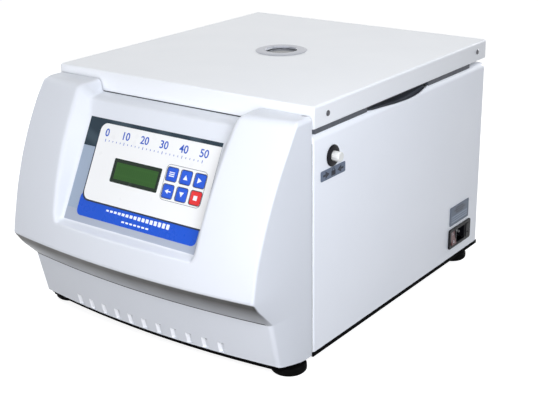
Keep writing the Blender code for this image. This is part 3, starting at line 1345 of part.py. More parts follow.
def build_lock():
    """Bezel, nut and sliding knob of the push lock, turned about the lock's axis."""
    axis = new_empty("lock_axis", (HALF_WIDTH, LOCK_Y, LOCK_Z), FRAME, TURN_OUT)
    face = GAP + LOCK_BEZEL_THICKNESS
    counterbore = LOCK_KNOB_RADIUS + GAP
    bore = LOCK_ROD_RADIUS + GAP
    shoulder = face - SHEET
    bore_step = shoulder - LOCK_TRAVEL - 2 * GAP
    edge = LOCK_BEZEL_THICKNESS * 0.4
    profile = [(LOCK_BEZEL_RADIUS - edge, face), (LOCK_BEZEL_RADIUS, face - edge), (LOCK_BEZEL_RADIUS, GAP),
               (LOCK_BODY_RADIUS, GAP), (LOCK_BODY_RADIUS, -LOCK_BODY_LENGTH), (bore, -LOCK_BODY_LENGTH),
               (bore, bore_step), (counterbore, bore_step), (counterbore, face)]
    turned("lock_bezel", profile, "black_moulding", axis)
    hexagon = arc((0.0, 0.0), LOCK_NUT_RADIUS, 0, 360, 6)[:-1]
    hole = arc((0.0, 0.0), LOCK_BODY_RADIUS + GAP, 0, 360, ROUND_STEPS)[:-1]
    place = (HALF_WIDTH - SHEET - GAP - LOCK_NUT_THICKNESS / 2, LOCK_Y, LOCK_Z)
    nut = plate_mesh("lock_nut", [hexagon, hole], LOCK_NUT_THICKNESS, place, SIDEWAYS)
    as_part(nut, "lock_nut", "bare_steel")
    reach = LOCK_KNOB_REACH
    tip = STRIKER_X + STRIKER_THICKNESS + LOCK_ROD_STANDOFF - HALF_WIDTH
    edge = LOCK_KNOB_RADIUS * 0.12
    chamfer = LOCK_ROD_RADIUS * 0.3
    profile = [(0.0, reach), (LOCK_KNOB_RADIUS - edge, reach), (LOCK_KNOB_RADIUS, reach - edge),
               (LOCK_KNOB_RADIUS, shoulder), (LOCK_ROD_RADIUS, shoulder), (LOCK_ROD_RADIUS, tip + chamfer),
               (LOCK_ROD_RADIUS - chamfer, tip), (0.0, tip)]
    turned("lock_knob", profile, "white_knob", axis, closed=False)


def side_plate(name, front, length, low, height, corner, thickness, look):
    outline = rounded_outline((front, low), (front + length, low + height), corner)
    place = (HALF_WIDTH + GAP + thickness / 2, 0.0, 0.0)
    return as_part(plate_mesh(name, [outline], thickness, place, SIDEWAYS), name, look)


def inlet_body():
    """The part of the inlet behind its flange: low and high corners."""
    border = INLET_BORDER
    low = (HALF_WIDTH - INLET_DEPTH, INLET_FRONT + border, INLET_LOW + border)
    high = (HALF_WIDTH + GAP + INLET_FLANGE / 2,
            INLET_FRONT + INLET_LENGTH - border,
            INLET_LOW + INLET_HEIGHT - border)
    return low, high


def inlet_cells():
    """Front edges of the rocker, socket and fuse cells along Y."""
    rocker = INLET_FRONT + INLET_BORDER + CELL_WALL
    socket = rocker + ROCKER_WIDTH + 2 * GAP + CELL_WALL * 2
    fuse = socket + SOCKET_WIDTH + CELL_WALL * 2
    return rocker, socket, fuse


def build_inlet():
    face = HALF_WIDTH + GAP + INLET_FLANGE
    middle = INLET_LOW + INLET_HEIGHT / 2
    half = CELL_HEIGHT / 2
    rocker, socket, fuse = inlet_cells()
    housing = side_plate("inlet_housing", INLET_FRONT, INLET_LENGTH, INLET_LOW, INLET_HEIGHT, INLET_CORNER,
                         INLET_FLANGE, "black_moulding")
    cut(housing, as_cutter(box_mesh("inlet_back", inlet_body()), "inlet_back"), "UNION")
    out = face + OVERRUN
    wells = [(face - ROCKER_WELL_DEPTH, rocker, ROCKER_WIDTH + 2 * GAP),
             (face - SOCKET_DEPTH, socket, SOCKET_WIDTH),
             (face - FUSE_LENGTH - GAP, fuse, FUSE_WIDTH + 2 * GAP)]
    cut_boxes(housing, "inlet_wells", *[
        ((back, front, middle - half), (out, front + width, middle + half)) for back, front, width in wells])
    join_blades(housing, face - SOCKET_DEPTH, socket + SOCKET_WIDTH / 2, middle)
    build_rocker(face, rocker + GAP + ROCKER_WIDTH / 2, middle)
    drawer_low = (face - FUSE_LENGTH, fuse + GAP, middle - half + GAP)
    drawer_high = (face + FUSE_PROUD, fuse + GAP + FUSE_WIDTH, middle + half - GAP)
    drawer = as_part(box_mesh("fuse_drawer", (drawer_low, drawer_high)), "fuse_drawer", "black_moulding")
    soften(drawer, FUSE_PROUD / 2)


def join_blades(housing, back, y, z):
    """Three contact blades that stand up from the back of the socket."""
    start = back - OVERRUN
    end = back + SOCKET_BLADE_LENGTH
    half_t = SOCKET_BLADE_THICKNESS / 2
    half_w = SOCKET_BLADE_WIDTH / 2
    boxes = []
    apart = SOCKET_BLADE_SPACING / 2
    for dy, dz in ((-apart, 0.0), (0.0, SOCKET_EARTH_RISE), (apart, 0.0)):
        boxes.append(((start, y + dy - half_t, z + dz - half_w), (end, y + dy + half_t, z + dz + half_w)))
    cut(housing, as_cutter(box_mesh("inlet_blades", *boxes), "inlet_blades"), "UNION")


def build_rocker(face, y, z):
    """The rocker: a dished front over a round back, tipped to one side at rest."""
    half = CELL_HEIGHT / 2 - 3 * GAP
    axis = new_empty("rocker_axis", (face - ROCKER_FACE, y, z), FRAME, (0.0, -ROCKER_TILT, 0.0))
    rise = ROCKER_FACE * 0.75
    points = [(0.0, -half), (rise + ROCKER_DISH, -half), (rise, 0.0), (rise + ROCKER_DISH, half), (0.0, half)]
    back = [(x, zz) for x, zz in arc((0.0, 0.0), half, 90, 270, 8)][1:-1]
    outline = [(x, zz) for x, zz in points] + back
    turn = Matrix(((1, 0, 0, 0), (0, 0, -1, 0), (0, 1, 0, 0), (0, 0, 0, 1)))
    mesh = plate_mesh("power_rocker", [outline], ROCKER_WIDTH, (0.0, 0.0, 0.0), turn)
    as_part(mesh, "power_rocker", "red_rocker", axis)


def build_electrics():
    """The power supply and the motor's drive board, on the pan at the front."""
    floor = PAN_FLOOR + GAP
    x, y = SUPPLY_X, SUPPLY_Y
    w, d, h = SUPPLY_SIZE
    block = box_mesh("power_supply", ((x - w / 2, y - d / 2, floor), (x + w / 2, y + d / 2, floor + h)))
    supply = as_part(block, "power_supply", "bare_steel")
    soften(supply, SHEET)
    x, y = DRIVE_BOARD_X, DRIVE_BOARD_Y
    w, d = DRIVE_BOARD_SIZE
    low = floor + DRIVE_BOARD_RISE
    top = low + BOARD_THICKNESS
    board = as_part(box_mesh("drive_board", ((x - w / 2, y - d / 2, low), (x + w / 2, y + d / 2, top))),
                    "drive_board", "board")
    inset = STANDOFF_RADIUS * 1.5
    posts = [((x + a * (w / 2 - inset), y + b * (d / 2 - inset), floor), (0.0, 0.0, 1.0),
              DRIVE_BOARD_RISE + BOARD_THICKNESS / 2, STANDOFF_RADIUS) for a in (-1, 1) for b in (-1, 1)]
    cut(board, as_cutter(rod_mesh("drive_posts", *posts, steps=SCREW_STEPS), "drive_posts"), "UNION")


build_case()
build_scoops()
build_rear()
build_pan()
build_feet()
build_fascia()
build_bulkhead()
build_control_panel()
build_deck()
build_bowl()
build_motor()
build_rotor()
LID_PARTS = build_lid()
build_hinge(LID_PARTS)
build_lock()
side_plate("lock_plate", LOCK_PLATE_FRONT, LOCK_PLATE_LENGTH, LOCK_PLATE_LOW, LOCK_PLATE_HEIGHT, PLATE_CORNER,
           PLATE_THICKNESS, "grey_plate")
side_plate("fuse_plate", FUSE_PLATE_FRONT, FUSE_PLATE_LENGTH, FUSE_PLATE_LOW, FUSE_PLATE_HEIGHT, PLATE_CORNER,
           PLATE_THICKNESS, "grey_plate")
build_inlet()
build_electrics()
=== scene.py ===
"""Looks of the bench-top laboratory centrifuge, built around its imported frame.

Every shape is worked out in the cabinet's own frame, as the solids were: x = 0 at mid-width, y = 0 at the front
of the case, z = 0 at its bottom edge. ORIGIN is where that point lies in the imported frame.
"""
import json
import math

import bmesh
import bpy
from mathutils import Matrix, Vector


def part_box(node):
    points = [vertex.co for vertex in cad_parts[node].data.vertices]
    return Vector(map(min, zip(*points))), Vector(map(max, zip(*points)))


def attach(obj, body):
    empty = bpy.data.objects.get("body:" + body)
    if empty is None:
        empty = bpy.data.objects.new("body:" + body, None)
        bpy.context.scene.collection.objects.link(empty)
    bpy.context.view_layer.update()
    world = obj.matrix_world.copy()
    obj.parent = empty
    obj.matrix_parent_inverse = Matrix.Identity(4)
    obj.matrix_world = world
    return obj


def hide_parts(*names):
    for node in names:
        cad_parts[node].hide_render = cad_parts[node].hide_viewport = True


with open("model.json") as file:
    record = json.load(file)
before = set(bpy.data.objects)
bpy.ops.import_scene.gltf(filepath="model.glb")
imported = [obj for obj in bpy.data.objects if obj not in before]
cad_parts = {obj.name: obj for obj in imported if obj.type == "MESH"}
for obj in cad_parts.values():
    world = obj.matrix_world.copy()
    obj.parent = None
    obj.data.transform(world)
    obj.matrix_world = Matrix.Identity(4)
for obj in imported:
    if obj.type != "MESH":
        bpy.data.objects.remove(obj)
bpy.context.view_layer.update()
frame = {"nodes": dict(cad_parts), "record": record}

CASE_LOW, CASE_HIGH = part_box("case_wrap")
ORIGIN = Vector(((CASE_LOW.x + CASE_HIGH.x) / 2, CASE_LOW.y, CASE_LOW.z))
BODY_OF = {node: body for body, nodes in frame["record"]["behaviour"]["bodies"].items() for node in nodes}


def cad_box(node):
    """A node's corners in the cabinet's frame."""
    low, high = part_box(node)
    return low - ORIGIN, high - ORIGIN


# Shared sizes, in metres
GAP = 0.0003
MERGE = 0.000001
SHEET = 0.0012
HALF_WIDTH = (CASE_HIGH.x - CASE_LOW.x) / 2
CASE_DEPTH = CASE_HIGH.y - CASE_LOW.y
CASE_HEIGHT = CASE_HIGH.z - CASE_LOW.z
SHARP_ANGLE = math.radians(30)
ROUND_STEPS = 96
SMALL_STEPS = 40

# Case
CASE_EDGE = 0.009
CASE_CORNER = 0.005
CASE_LIP = 0.0034
CASE_FLANGE = 0.028
CUT_REACH = 0.004
LOCK_HOLE_RADIUS = 0.0093
INLET_HOLE_MARGIN = 0.0027
REAR_HOLE_MARGIN = 0.012
SCOOP_FRONT_Y = 0.1175
SCOOP_LENGTH = 0.1595
SCOOP_DEPTH = 0.0064
SCOOP_SHARES = ((0, 0), (0.09, 0.34), (0.16, 0.44), (0.22, 0.48), (0.28, 0.59), (0.34, 0.69), (0.40, 0.80),
                (0.46, 0.875), (0.53, 0.94), (0.59, 0.97), (0.66, 1.0), (0.72, 0.92), (0.80, 0.78), (0.88, 0.47),
                (0.93, 0.34), (1, 0))
FLANGE_GAP_REAR = 0.001
FLANGE_GAP_DEPTH = 0.003
FLANGE_GAP_SHARE = 0.6

# Front fascia
FASCIA_WALL = 0.0032
FASCIA_BOW = 0.016
FASCIA_TOP = 0.291
FASCIA_REACH = 0.106
BROW_REACH = 0.030
BROW_DROP = 0.0035
BROW_SHARE = 0.8
BROW_SETBACKS = {1: 0.006, 2: 0.005}
FASCIA_CROWN = 0.0114
FASCIA_TAPER = 0.0065
FASCIA_CORNER = 0.004
SIDE_STEPS = (0.15, 0.3, 0.45, 0.6, 0.75, 0.9, 1.0)
SIDE_POWER = 2.4
SIDE_INSET = 0.0011
SIDE_ROLL = 0.0015
ROLL_GROWTH = 6
ROLL_TURN = ((0.924, 0.383), (0.707, 0.707), (0.383, 1.0))
SIDE_SINK = 1.5
TURN_SINK = 0.4
SEAM_SINK = 0.3
SINK_LENGTH = 0.7
FASCIA_FLANGE = 0.014
BELLY_Z = 0.102
BELLY_SETBACK = 0.0032
GROOVE_REACH = 0.0955
GROOVE_Z = 0.0865
GROOVE_SETBACK = 0.006
SKIRT_TOP_REACH = 0.0725
SKIRT_TOP_Z = 0.063
SKIRT_SETBACK = 0.0008
SKIRT_BOTTOM_REACH = 0.057
SKIRT_CORNER = 0.007
SKIRT_FOOT_Z = 0.0042
STRIP_INSET = 0.0026
STRIP_WIDTH = 0.007
# The black strip in the crease above the skirt: painted shade
SHADE_STRIP_RISE = 0.0006
SHADE_STRIP_REACH = 0.0017
SHADE_STRIP_WIDTH = 0.002
LEDGE_Z = 0.2754
LEDGE_REACH = 0.0265
LEDGE_SHARE = 0.85
CREASE_Z = 0.134
CREASE_SETBACK = 0.0035
RIDGE_TOP_X = 0.1255
RIDGE_BOTTOM_X = 0.111
RIDGE_SETBACK = 0.0055
WELL_BACK_X = 0.1225
WELL_FRONT_X = 0.114
WELL_X = 0.107
WELL_FOOT_SHARE = 0.926
WELL_EDGE_SETBACK = 0.0035
WELL_FOOT_SETBACK = 0.0028
NOTCH_COUNT = 11
NOTCH_PITCH = 0.0233
NOTCH_WIDTH = 0.009
NOTCH_HEIGHT = 0.0205
NOTCH_DEPTH = 0.0027
NOTCH_SLOPE = 0.0036
NOTCH_SILL = 0.0013
SLOT_HEIGHT = 0.0038
SLOT_DEPTH = 0.010

# Control panel, in its own sloping plane: u to the right, v up the slope
PANEL_WIDTH = 0.209
PANEL_HEIGHT = 0.131
PANEL_SEAT = 0.007
PANEL_LOW_REACH = 0.0991
PANEL_LOW_Z = 0.1382
PANEL_TILT = math.radians(27.0)
DISPLAY_SIZE = (0.0755, 0.029)
DISPLAY_PLACE = (-0.010, 0.0065)
KEY_SIZE = 0.0155
KEY_PITCH = (0.021, 0.0205)
KEY_CENTRE = (0.065, 0.0072)
KEY_TOP = 0.0010

# Lid
LID_EDGE = 0.003
LID_HEM = 0.007
LID_CORNER = 0.0035
LINER_CORNER = 0.004
ROTOR_Y = 0.219
LID_TOP = cad_box("lid_cover")[1].z
SIGHT_TUBE_RADIUS = 0.0294
SIGHT_TUBE_BORE = 0.0275
SIGHT_RING_BORE = 0.0215
AXIS_PLACE = Matrix.Translation((0.0, ROTOR_Y, 0.0))

SIDEWAYS = Matrix(((0, 0, 1, 0), (1, 0, 0, 0), (0, 1, 0, 0), (0, 0, 0, 1)))


def shares(count):
    return [i / count for i in range(count + 1)]


def arc(centre, radius, start, end, steps):
    """Points round an arc, from one angle to another in degrees."""
    angles = [math.radians(start + (end - start) * share) for share in shares(steps)]
    return [(centre[0] + radius * math.cos(a), centre[1] + radius * math.sin(a)) for a in angles]


def ring(radius, z, steps, drawn_in=None):
    """Points round the upright axis; drawn_in gives the share of the radius that is missing at each step."""
    points = []
    for i in range(steps):
        angle = 2 * math.pi * i / steps
        out = radius * (1 - drawn_in(i)) if drawn_in else radius
        points.append((out * math.cos(angle), out * math.sin(angle), z))
    return points


def lifted(outline, z):
    return [(x, y, z) for x, y in outline]


def rounded(points, setbacks, steps=6):
    """A line of points with some of its corners rounded; setbacks gives how far back each rounding starts."""
    made = []
    for i, point in enumerate(points):
        here = Vector(point)
        setback = setbacks.get(i)
        if setback is None or i in (0, len(points) - 1):
            made.append(here)
            continue
        before, after = Vector(points[i - 1]) - here, Vector(points[i + 1]) - here
        start = here + before * min(setback / max(before.length, MERGE), 0.48)
        end = here + after * min(setback / max(after.length, MERGE), 0.48)
        for s in shares(steps):
            made.append(start * (1 - s) ** 2 + here * (2 * s * (1 - s)) + end * s ** 2)
    return made


def as_mesh(name, shape):
    """A mesh of what a bmesh holds; the bmesh is freed."""
    mesh = bpy.data.meshes.new(name)
    shape.to_mesh(mesh)
    shape.free()
    return mesh


def linked(name, data):
    """An object in the scene."""
    made = bpy.data.objects.new(name, data)
    bpy.context.scene.collection.objects.link(made)
    return made


def baked(*holders):
    """The first object's mesh as its modifiers leave it; the objects are taken out of the scene."""
    graph = bpy.context.evaluated_depsgraph_get()
    mesh = bpy.data.meshes.new_from_object(holders[0].evaluated_get(graph))
    for holder in holders:
        bpy.data.objects.remove(holder, do_unlink=True)
    return mesh


def skin(name, rows, closed=False, caps=False, holes=None):
    """A surface over rows of points; closed joins each row's ends, and holes names quads to leave out."""
    shape = bmesh.new()
    made = [[shape.verts.new(point) for point in row] for row in rows]
    count = len(rows[0])
    for i, (upper, lower) in enumerate(zip(made, made[1:])):
        for j in range(count if closed else count - 1):
            k = (j + 1) % count
            if not (holes and holes(i, j)):
                shape.faces.new((upper[j], lower[j], lower[k], upper[k]))
    if caps:
        shape.faces.new(made[0][::-1])
        shape.faces.new(made[-1])
    bmesh.ops.remove_doubles(shape, verts=shape.verts, dist=MERGE)
    bmesh.ops.dissolve_degenerate(shape, edges=shape.edges, dist=MERGE)
    bmesh.ops.delete(shape, geom=[v for v in shape.verts if not v.link_faces], context="VERTS")
    bmesh.ops.recalc_face_normals(shape, faces=shape.faces)
    return as_mesh(name, shape)


def turned(name, profile, steps=ROUND_STEPS, setback=0.0003, loop=True):
    """A turned mesh; its profile is radius and height, with its corners softened."""
    points = [(r, 0.0, z) for r, z in profile]
    if loop:
        points = [points[-1], *points, points[0]]
    soft = rounded(points, {i: setback for i in range(1, len(points) - 1) if points[i][0] > MERGE}, 3)
    if loop:
        soft = soft[1:-1]
        soft.append(soft[0])
    return skin(name, [ring(p.x, p.z, steps) for p in soft], closed=True)


def fluted(name, profile, steps, depth, flute):
    """A turned mesh with flutes; its profile is radius, height and how much of the flutes shows there."""
    rows = [ring(r, z, steps, lambda i, part=part: depth * part * flute(i)) for r, z, part in profile]
    return skin(name, rows, closed=True)


def block(name, low, high, edge=0.0, segments=2):
    """A box with rounded edges."""
    shape = bmesh.new()
    size = Vector(high) - Vector(low)
    place = Matrix.Translation((Vector(low) + Vector(high)) / 2) @ Matrix.Diagonal((*size, 1.0))
    bmesh.ops.create_cube(shape, size=1.0, matrix=place)
    if edge:
        bmesh.ops.bevel(shape, geom=shape.edges[:], offset=edge, segments=segments, profile=0.5, affect="EDGES")
    return as_mesh(name, shape)


def rod(name, start, end, radius):
    start, end = Vector(start), Vector(end)
    turn = Vector((0.0, 0.0, 1.0)).rotation_difference(end - start).to_matrix().to_4x4()
    rows = [ring(radius, z, SMALL_STEPS) for z in (0.0, (end - start).length)]
    mesh = skin(name, rows, closed=True, caps=True)
    mesh.transform(Matrix.Translation(start) @ turn)
    return mesh


def rounded_outline(low, high, radius, steps=8):
    """The corners of a rectangle, rounded, going round it once."""
    centres = ((high[0] - radius, high[1] - radius), (low[0] + radius, high[1] - radius),
               (low[0] + radius, low[1] + radius), (high[0] - radius, low[1] + radius))
    points = []
    for turn, centre in enumerate(centres):
        points += arc(centre, radius, 90 * turn, 90 * turn + 90, steps)
    return points


def around(u, v, half_u, half_v, radius):
    return rounded_outline((u - half_u, v - half_v), (u + half_u, v + half_v), radius)


def curve_mesh(name, curve, middle):
    """A filled curve's mesh, welded and put round its middle."""
    mesh = baked(linked(name, curve))
    shape = bmesh.new()
    shape.from_mesh(mesh)
    bmesh.ops.remove_doubles(shape, verts=shape.verts, dist=MERGE)
    bmesh.ops.recalc_face_normals(shape, faces=shape.faces)
    shape.to_mesh(mesh)
    shape.free()
    mesh.transform(Matrix.Translation(middle))
    return mesh


def plate(name, outlines, low, high, edge=0.0):
    """A flat plate between two heights from outlines; inner outlines are its holes."""
    curve = bpy.data.curves.new(name, "CURVE")
    curve.dimensions = "2D"
    curve.fill_mode = "BOTH"
    curve.extrude = (high - low) / 2 - edge
    curve.bevel_depth = edge
    curve.bevel_resolution = 2
    curve.offset = -edge
    for points in outlines:
        line = curve.splines.new("POLY")
        line.points.add(len(points) - 1)
        for target, (x, y) in zip(line.points, points):
            target.co = (x, y, 0.0, 1.0)
        line.use_cyclic_u = True
    return curve_mesh(name, curve, (0.0, 0.0, (low + high) / 2))


def figure(text, size, place, low, high, bold):
    """Plain figures as a raised mesh, centred on place in the plane's own directions."""
    curve = bpy.data.curves.new("figure", "FONT")
    curve.body = text
    curve.size = size
    curve.align_x = curve.align_y = "CENTER"
    curve.extrude = (high - low) / 2
    curve.offset = bold
    return curve_mesh("figure", curve, (*place, (low + high) / 2))


def merged(name, meshes):
    """Several meshes as one."""
    shape = bmesh.new()
    for mesh in meshes:
        shape.from_mesh(mesh)
        bpy.data.meshes.remove(mesh)
    return as_mesh(name, shape)


def cut(mesh, *cutters):
    """The mesh with closed cutters taken out of it."""
    target = linked(mesh.name, mesh)
    tool = linked(mesh.name + "_cutter", merged(mesh.name + "_cutter", cutters))
    step = target.modifiers.new("cut", "BOOLEAN")
    step.object = tool
    step.solver = "EXACT"
    return baked(target, tool)


def walled(mesh, thickness):
    """An open surface given a wall on its inner side."""
    target = linked(mesh.name, mesh)
    step = target.modifiers.new("wall", "SOLIDIFY")
    step.thickness = thickness
    step.offset = -1.0
    step.use_even_offset = True
    return baked(target)


def add_piece(name, mesh, look, node, replaced=(), place=None):
    """Puts a mesh in the scene: it rides where its node rides."""
    if place is not None:
        mesh.transform(place)
    mesh.transform(Matrix.Translation(ORIGIN))
    mesh.materials.clear()
    mesh.materials.append(LOOKS[look])
    mesh.shade_smooth()
    mesh.set_sharp_from_angle(angle=SHARP_ANGLE)
    made = linked(name, mesh)
    even = made.modifiers.new("even_shading", "WEIGHTED_NORMAL")
    even.keep_sharp = True
    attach(made, BODY_OF[node])
    if replaced:
        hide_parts(*replaced)


def stand_in(node, mesh, look, place=None):
    """The fine piece that stands for one node."""
    add_piece(node + "_finish", mesh, look, node, (node,), place)


# Materials
def ink(code):
    """A linear colour from a written one such as 1f5ad8."""
    values = [int(code[i:i + 2], 16) / 255 for i in (0, 2, 4)]
    return tuple(v / 12.92 if v <= 0.04045 else ((v + 0.055) / 1.055) ** 2.4 for v in values)


def darker(colour, share):
    return tuple(value * share for value in colour)


class Look:
    """A material being made: each call adds one layer of detail to its shader."""

    def __init__(self, name, colour, roughness, **sockets):
        self.material = bpy.data.materials.new(name)
        self.material.use_nodes = True
        self.tree = self.material.node_tree
        self.shader = self.tree.nodes["Principled BSDF"]
        self.colour = colour
        self.colour_source = None
        self.normal_source = None
        self.shader.inputs["Base Color"].default_value = (*colour, 1.0)
        self.shader.inputs["Roughness"].default_value = roughness
        for name, value in sockets.items():
            self.shader.inputs[name.replace("_", " ").title().replace("Ior", "IOR")].default_value = value

    def add(self, kind, *sources, values=(), **settings):
        """A node with settings: its first inputs come from the sources, and values go to the inputs they name."""
        node = self.tree.nodes.new("ShaderNode" + kind)
        for name, value in settings.items():
            setattr(node, name, value)
        for name, value in values:
            node.inputs[name].default_value = value
        for source, target in zip(sources, node.inputs):
            self.join(source, target)
        return node

    def join(self, output, target):
        self.tree.links.new(output, target)

    def place(self, stretch=(1.0, 1.0, 1.0), shift=(0.0, 0.0, 0.0)):
        """The object's own coordinates, stretched and shifted."""
        values = (("Scale", stretch), ("Location", shift))
        return self.add("Mapping", self.add("TexCoord").outputs["Object"], values=values).outputs["Vector"]

    def noise(self, scale, detail=2.0, stretch=(1.0, 1.0, 1.0), vector=None):
        values = (("Scale", scale), ("Detail", detail))
        return self.add("TexNoise", vector or self.place(stretch), values=values).outputs[0]

    def bricks(self, width, height, mortar, offset=0.0):
        """A grid of cells with thin lines between them."""
        values = (("Scale", 1.0), ("Brick Width", width), ("Row Height", height), ("Mortar Size", mortar))
        return self.add("TexBrick", self.place(), values=values, offset=offset).outputs[1]

    def lathe(self, centre):
        """Coordinates that run out from an upright axis, for turned surfaces."""
        place = self.add("TexCoord").outputs["Object"]
        shifted = self.add("VectorMath", place, values=((1, centre),), operation="SUBTRACT").outputs[0]
        flat = self.add("VectorMath", shifted, values=((1, (1.0, 1.0, 0.0)),), operation="MULTIPLY").outputs[0]
        length = self.add("VectorMath", flat, operation="LENGTH").outputs["Value"]
        height = self.add("SeparateXYZ", shifted).outputs["Z"]
        return self.add("CombineXYZ", length, height).outputs[0]

    def spread(self, source, low, high, from_low=0.3, from_high=0.7):
        """A value's range carried over to another one."""
        values = (("From Min", from_low), ("From Max", from_high), ("To Min", low), ("To Max", high))
        return self.add("MapRange", source, values=values).outputs[0]

    def times(self, first, second):
        return self.add("Math", first, second, operation="MULTIPLY").outputs[0]

    def tint(self, source, other):
        """Mixes another colour in where the source is high."""
        node = self.add("Mix", source, values=((6, (*self.colour, 1.0)), (7, (*other, 1.0))), data_type="RGBA")
        if self.colour_source:
            self.join(self.colour_source, node.inputs[6])
        self.colour_source = node.outputs[2]
        self.join(self.colour_source, self.shader.inputs["Base Color"])

    def gloss(self, source, low, high):
        self.join(self.spread(source, low, high), self.shader.inputs["Roughness"])

    def bump(self, source, depth, strength=1.0):
        node = self.add("Bump", values=(("Distance", depth), ("Strength", strength)))
        self.join(source, node.inputs["Height"])
        if self.normal_source:
            self.join(self.normal_source, node.inputs["Normal"])
        self.normal_source = node.outputs[0]
        self.join(self.normal_source, self.shader.inputs["Normal"])

    def patches(self, scale, detail, amount, other, from_low=0.3, from_high=0.7):
        """Another colour in soft patches."""
        self.tint(self.spread(self.noise(scale, detail), 0.0, amount, from_low, from_high), other)

    def haze(self, scale, detail, low, high):
        """Roughness that varies in soft patches."""
        self.gloss(self.noise(scale, detail), low, high)

    def grain(self, scale, detail, depth, strength):
        """Fine relief."""
        self.bump(self.noise(scale, detail), depth, strength)


def powder_coat(name, colour):
    """Baked powder coat on sheet steel: fine orange peel, faint waviness, a little handling haze."""
    look = Look(name, colour, 0.42, coat_weight=0.25, coat_roughness=0.28)
    look.patches(7.0, 3.0, 0.5, darker(colour, 0.965))
    look.patches(900.0, 1.0, 0.30, darker(colour, 0.86), 0.62, 0.80)
    look.haze(16.0, 3.0, 0.34, 0.47)
    look.grain(14.0, 1.0, 0.00045, 0.35)
    look.grain(1100.0, 2.0, 0.00003, 0.35)
    return look.material


def moulded(name, colour, roughness=0.38, shine=0.5, shade=None):
    """Painted or self-coloured moulding with a very fine grain; shade, when given, paints shade and highlights onto
    it.
    """
    look = Look(name, colour, roughness, specular_ior_level=shine, coat_weight=0.3 * shine, coat_roughness=0.30)
    look.patches(9.0, 3.0, 0.5, darker(colour, 0.96))
    if shade:
        shade(look)
    look.haze(22.0, 2.0, roughness - 0.05, roughness + 0.07)
    look.grain(11.0, 1.0, 0.0005, 0.30)
    look.grain(1500.0, 2.0, 0.00002, 0.4)
    return look.material


# Where the fascia's painted shade and painted highlights go: how far a surface faces right or down, and where the
# notches end
SLANT_FACING = (0.40, 0.45)
UNDER_FACING = (-0.48, -0.28)
NOTCHES_END_X = (0.145, 0.15)
UNDER_BLEND = 0.008
UNDER_LOW = 0.28


def undercut(look):
    """Paints shade on the fascia's underside, darkest just below the belly, and paints highlights on the notches'
    slanted walls.
    """
    coordinates = look.add("TexCoord").outputs
    facing = look.add("SeparateXYZ", coordinates["Normal"]).outputs
    place = look.add("SeparateXYZ", coordinates["Object"]).outputs
    notch_top = ORIGIN.z + NOTCH_HEIGHT
    # Painted highlight: the notches' slanted walls are lightened, below the notches' top and short of the skirt's
    # corners.
    slanted = look.times(look.spread(facing["X"], 0.0, 1.0, *SLANT_FACING),
                         look.spread(place["Z"], 1.0, 0.0, notch_top, notch_top + 0.001))
    look.tint(look.times(slanted, look.spread(place["X"], 1.0, 0.0, *NOTCHES_END_X)), (0.96, 0.97, 1.0))
    # Painted shade: surfaces facing down between the skirt and the belly are darkened, most near the belly.
    low, high = ORIGIN.z + SKIRT_TOP_Z, ORIGIN.z + BELLY_Z - UNDER_BLEND
    under = look.times(look.spread(facing["Z"], 1.0, 0.0, *UNDER_FACING),
                       look.spread(place["Z"], UNDER_LOW, 1.0, low, high))
    look.tint(under, (0.020, 0.018, 0.016))


def dark_plastic(name, colour, roughness=0.5, shine=0.12):
    look = Look(name, colour, roughness, specular_ior_level=shine)
    look.patches(40.0, 4.0, 0.6, darker(colour, 1.5))
    look.haze(120.0, 3.0, roughness - 0.10, roughness + 0.12)
    look.grain(2600.0, 2.0, 0.00005, 0.5)
    return look.material


def rubber(name):
    look = Look(name, (0.002, 0.002, 0.0022), 0.75, specular_ior_level=0.03)
    look.patches(60.0, 4.0, 0.6, (0.004, 0.004, 0.004))
    look.haze(150.0, 3.0, 0.62, 0.86)
    look.grain(1800.0, 3.0, 0.00008, 0.6)
    return look.material


def brushed(name, colour, stretch, roughness=0.30):
    """Sheet steel or aluminium brushed along one direction."""
    look = Look(name, colour, roughness, metallic=1.0)
    grain = look.noise(140.0, 4.0, stretch)
    look.tint(look.spread(grain, 0.0, 0.5), darker(colour, 0.78))
    look.gloss(grain, roughness - 0.07, roughness + 0.12)
    look.bump(grain, 0.00003, 0.5)
    return look.material


def lathed(name, colour, centre, roughness=0.28):
    """Metal turned on an upright axis, with fine tool marks."""
    look = Look(name, colour, roughness, metallic=1.0)
    marks = look.noise(1500.0, 2.0, vector=look.lathe(centre))
    look.tint(look.spread(marks, 0.0, 0.35), darker(colour, 0.80))
    look.haze(30.0, 3.0, roughness - 0.06, roughness + 0.10)
    look.bump(marks, 0.00003, 0.6)
    return look.material


def printed(name, code, roughness=0.30, mottle=0.93):
    """Ink under a clear polyester film."""
    colour = ink(code)
    look = Look(name, colour, roughness, specular_ior_level=0.25, coat_weight=0.05, coat_roughness=0.16)
    look.patches(18.0, 3.0, 0.5, darker(colour, mottle))
    look.haze(60.0, 2.0, roughness - 0.05, roughness + 0.08)
    look.grain(2200.0, 1.0, 0.00001, 0.3)
    return look.material


def slate_print():
    """The dark band's print, with faint arcs of light in it."""
    look = Look("slate_print", ink("2a3842"), 0.30, specular_ior_level=0.12, coat_weight=0.05, coat_roughness=0.16)
    rings = look.add("TexWave", look.place(shift=(0.135, 0.25, -0.10)), values=(("Scale", 9.0), ("Distortion", 1.5)),
                     wave_type="RINGS", rings_direction="SPHERICAL")
    look.tint(look.spread(rings.outputs[1], 0.0, 0.45, 0.55, 1.0), ink("4a5862"))
    look.grain(2200.0, 1.0, 0.00001, 0.3)
    return look.material


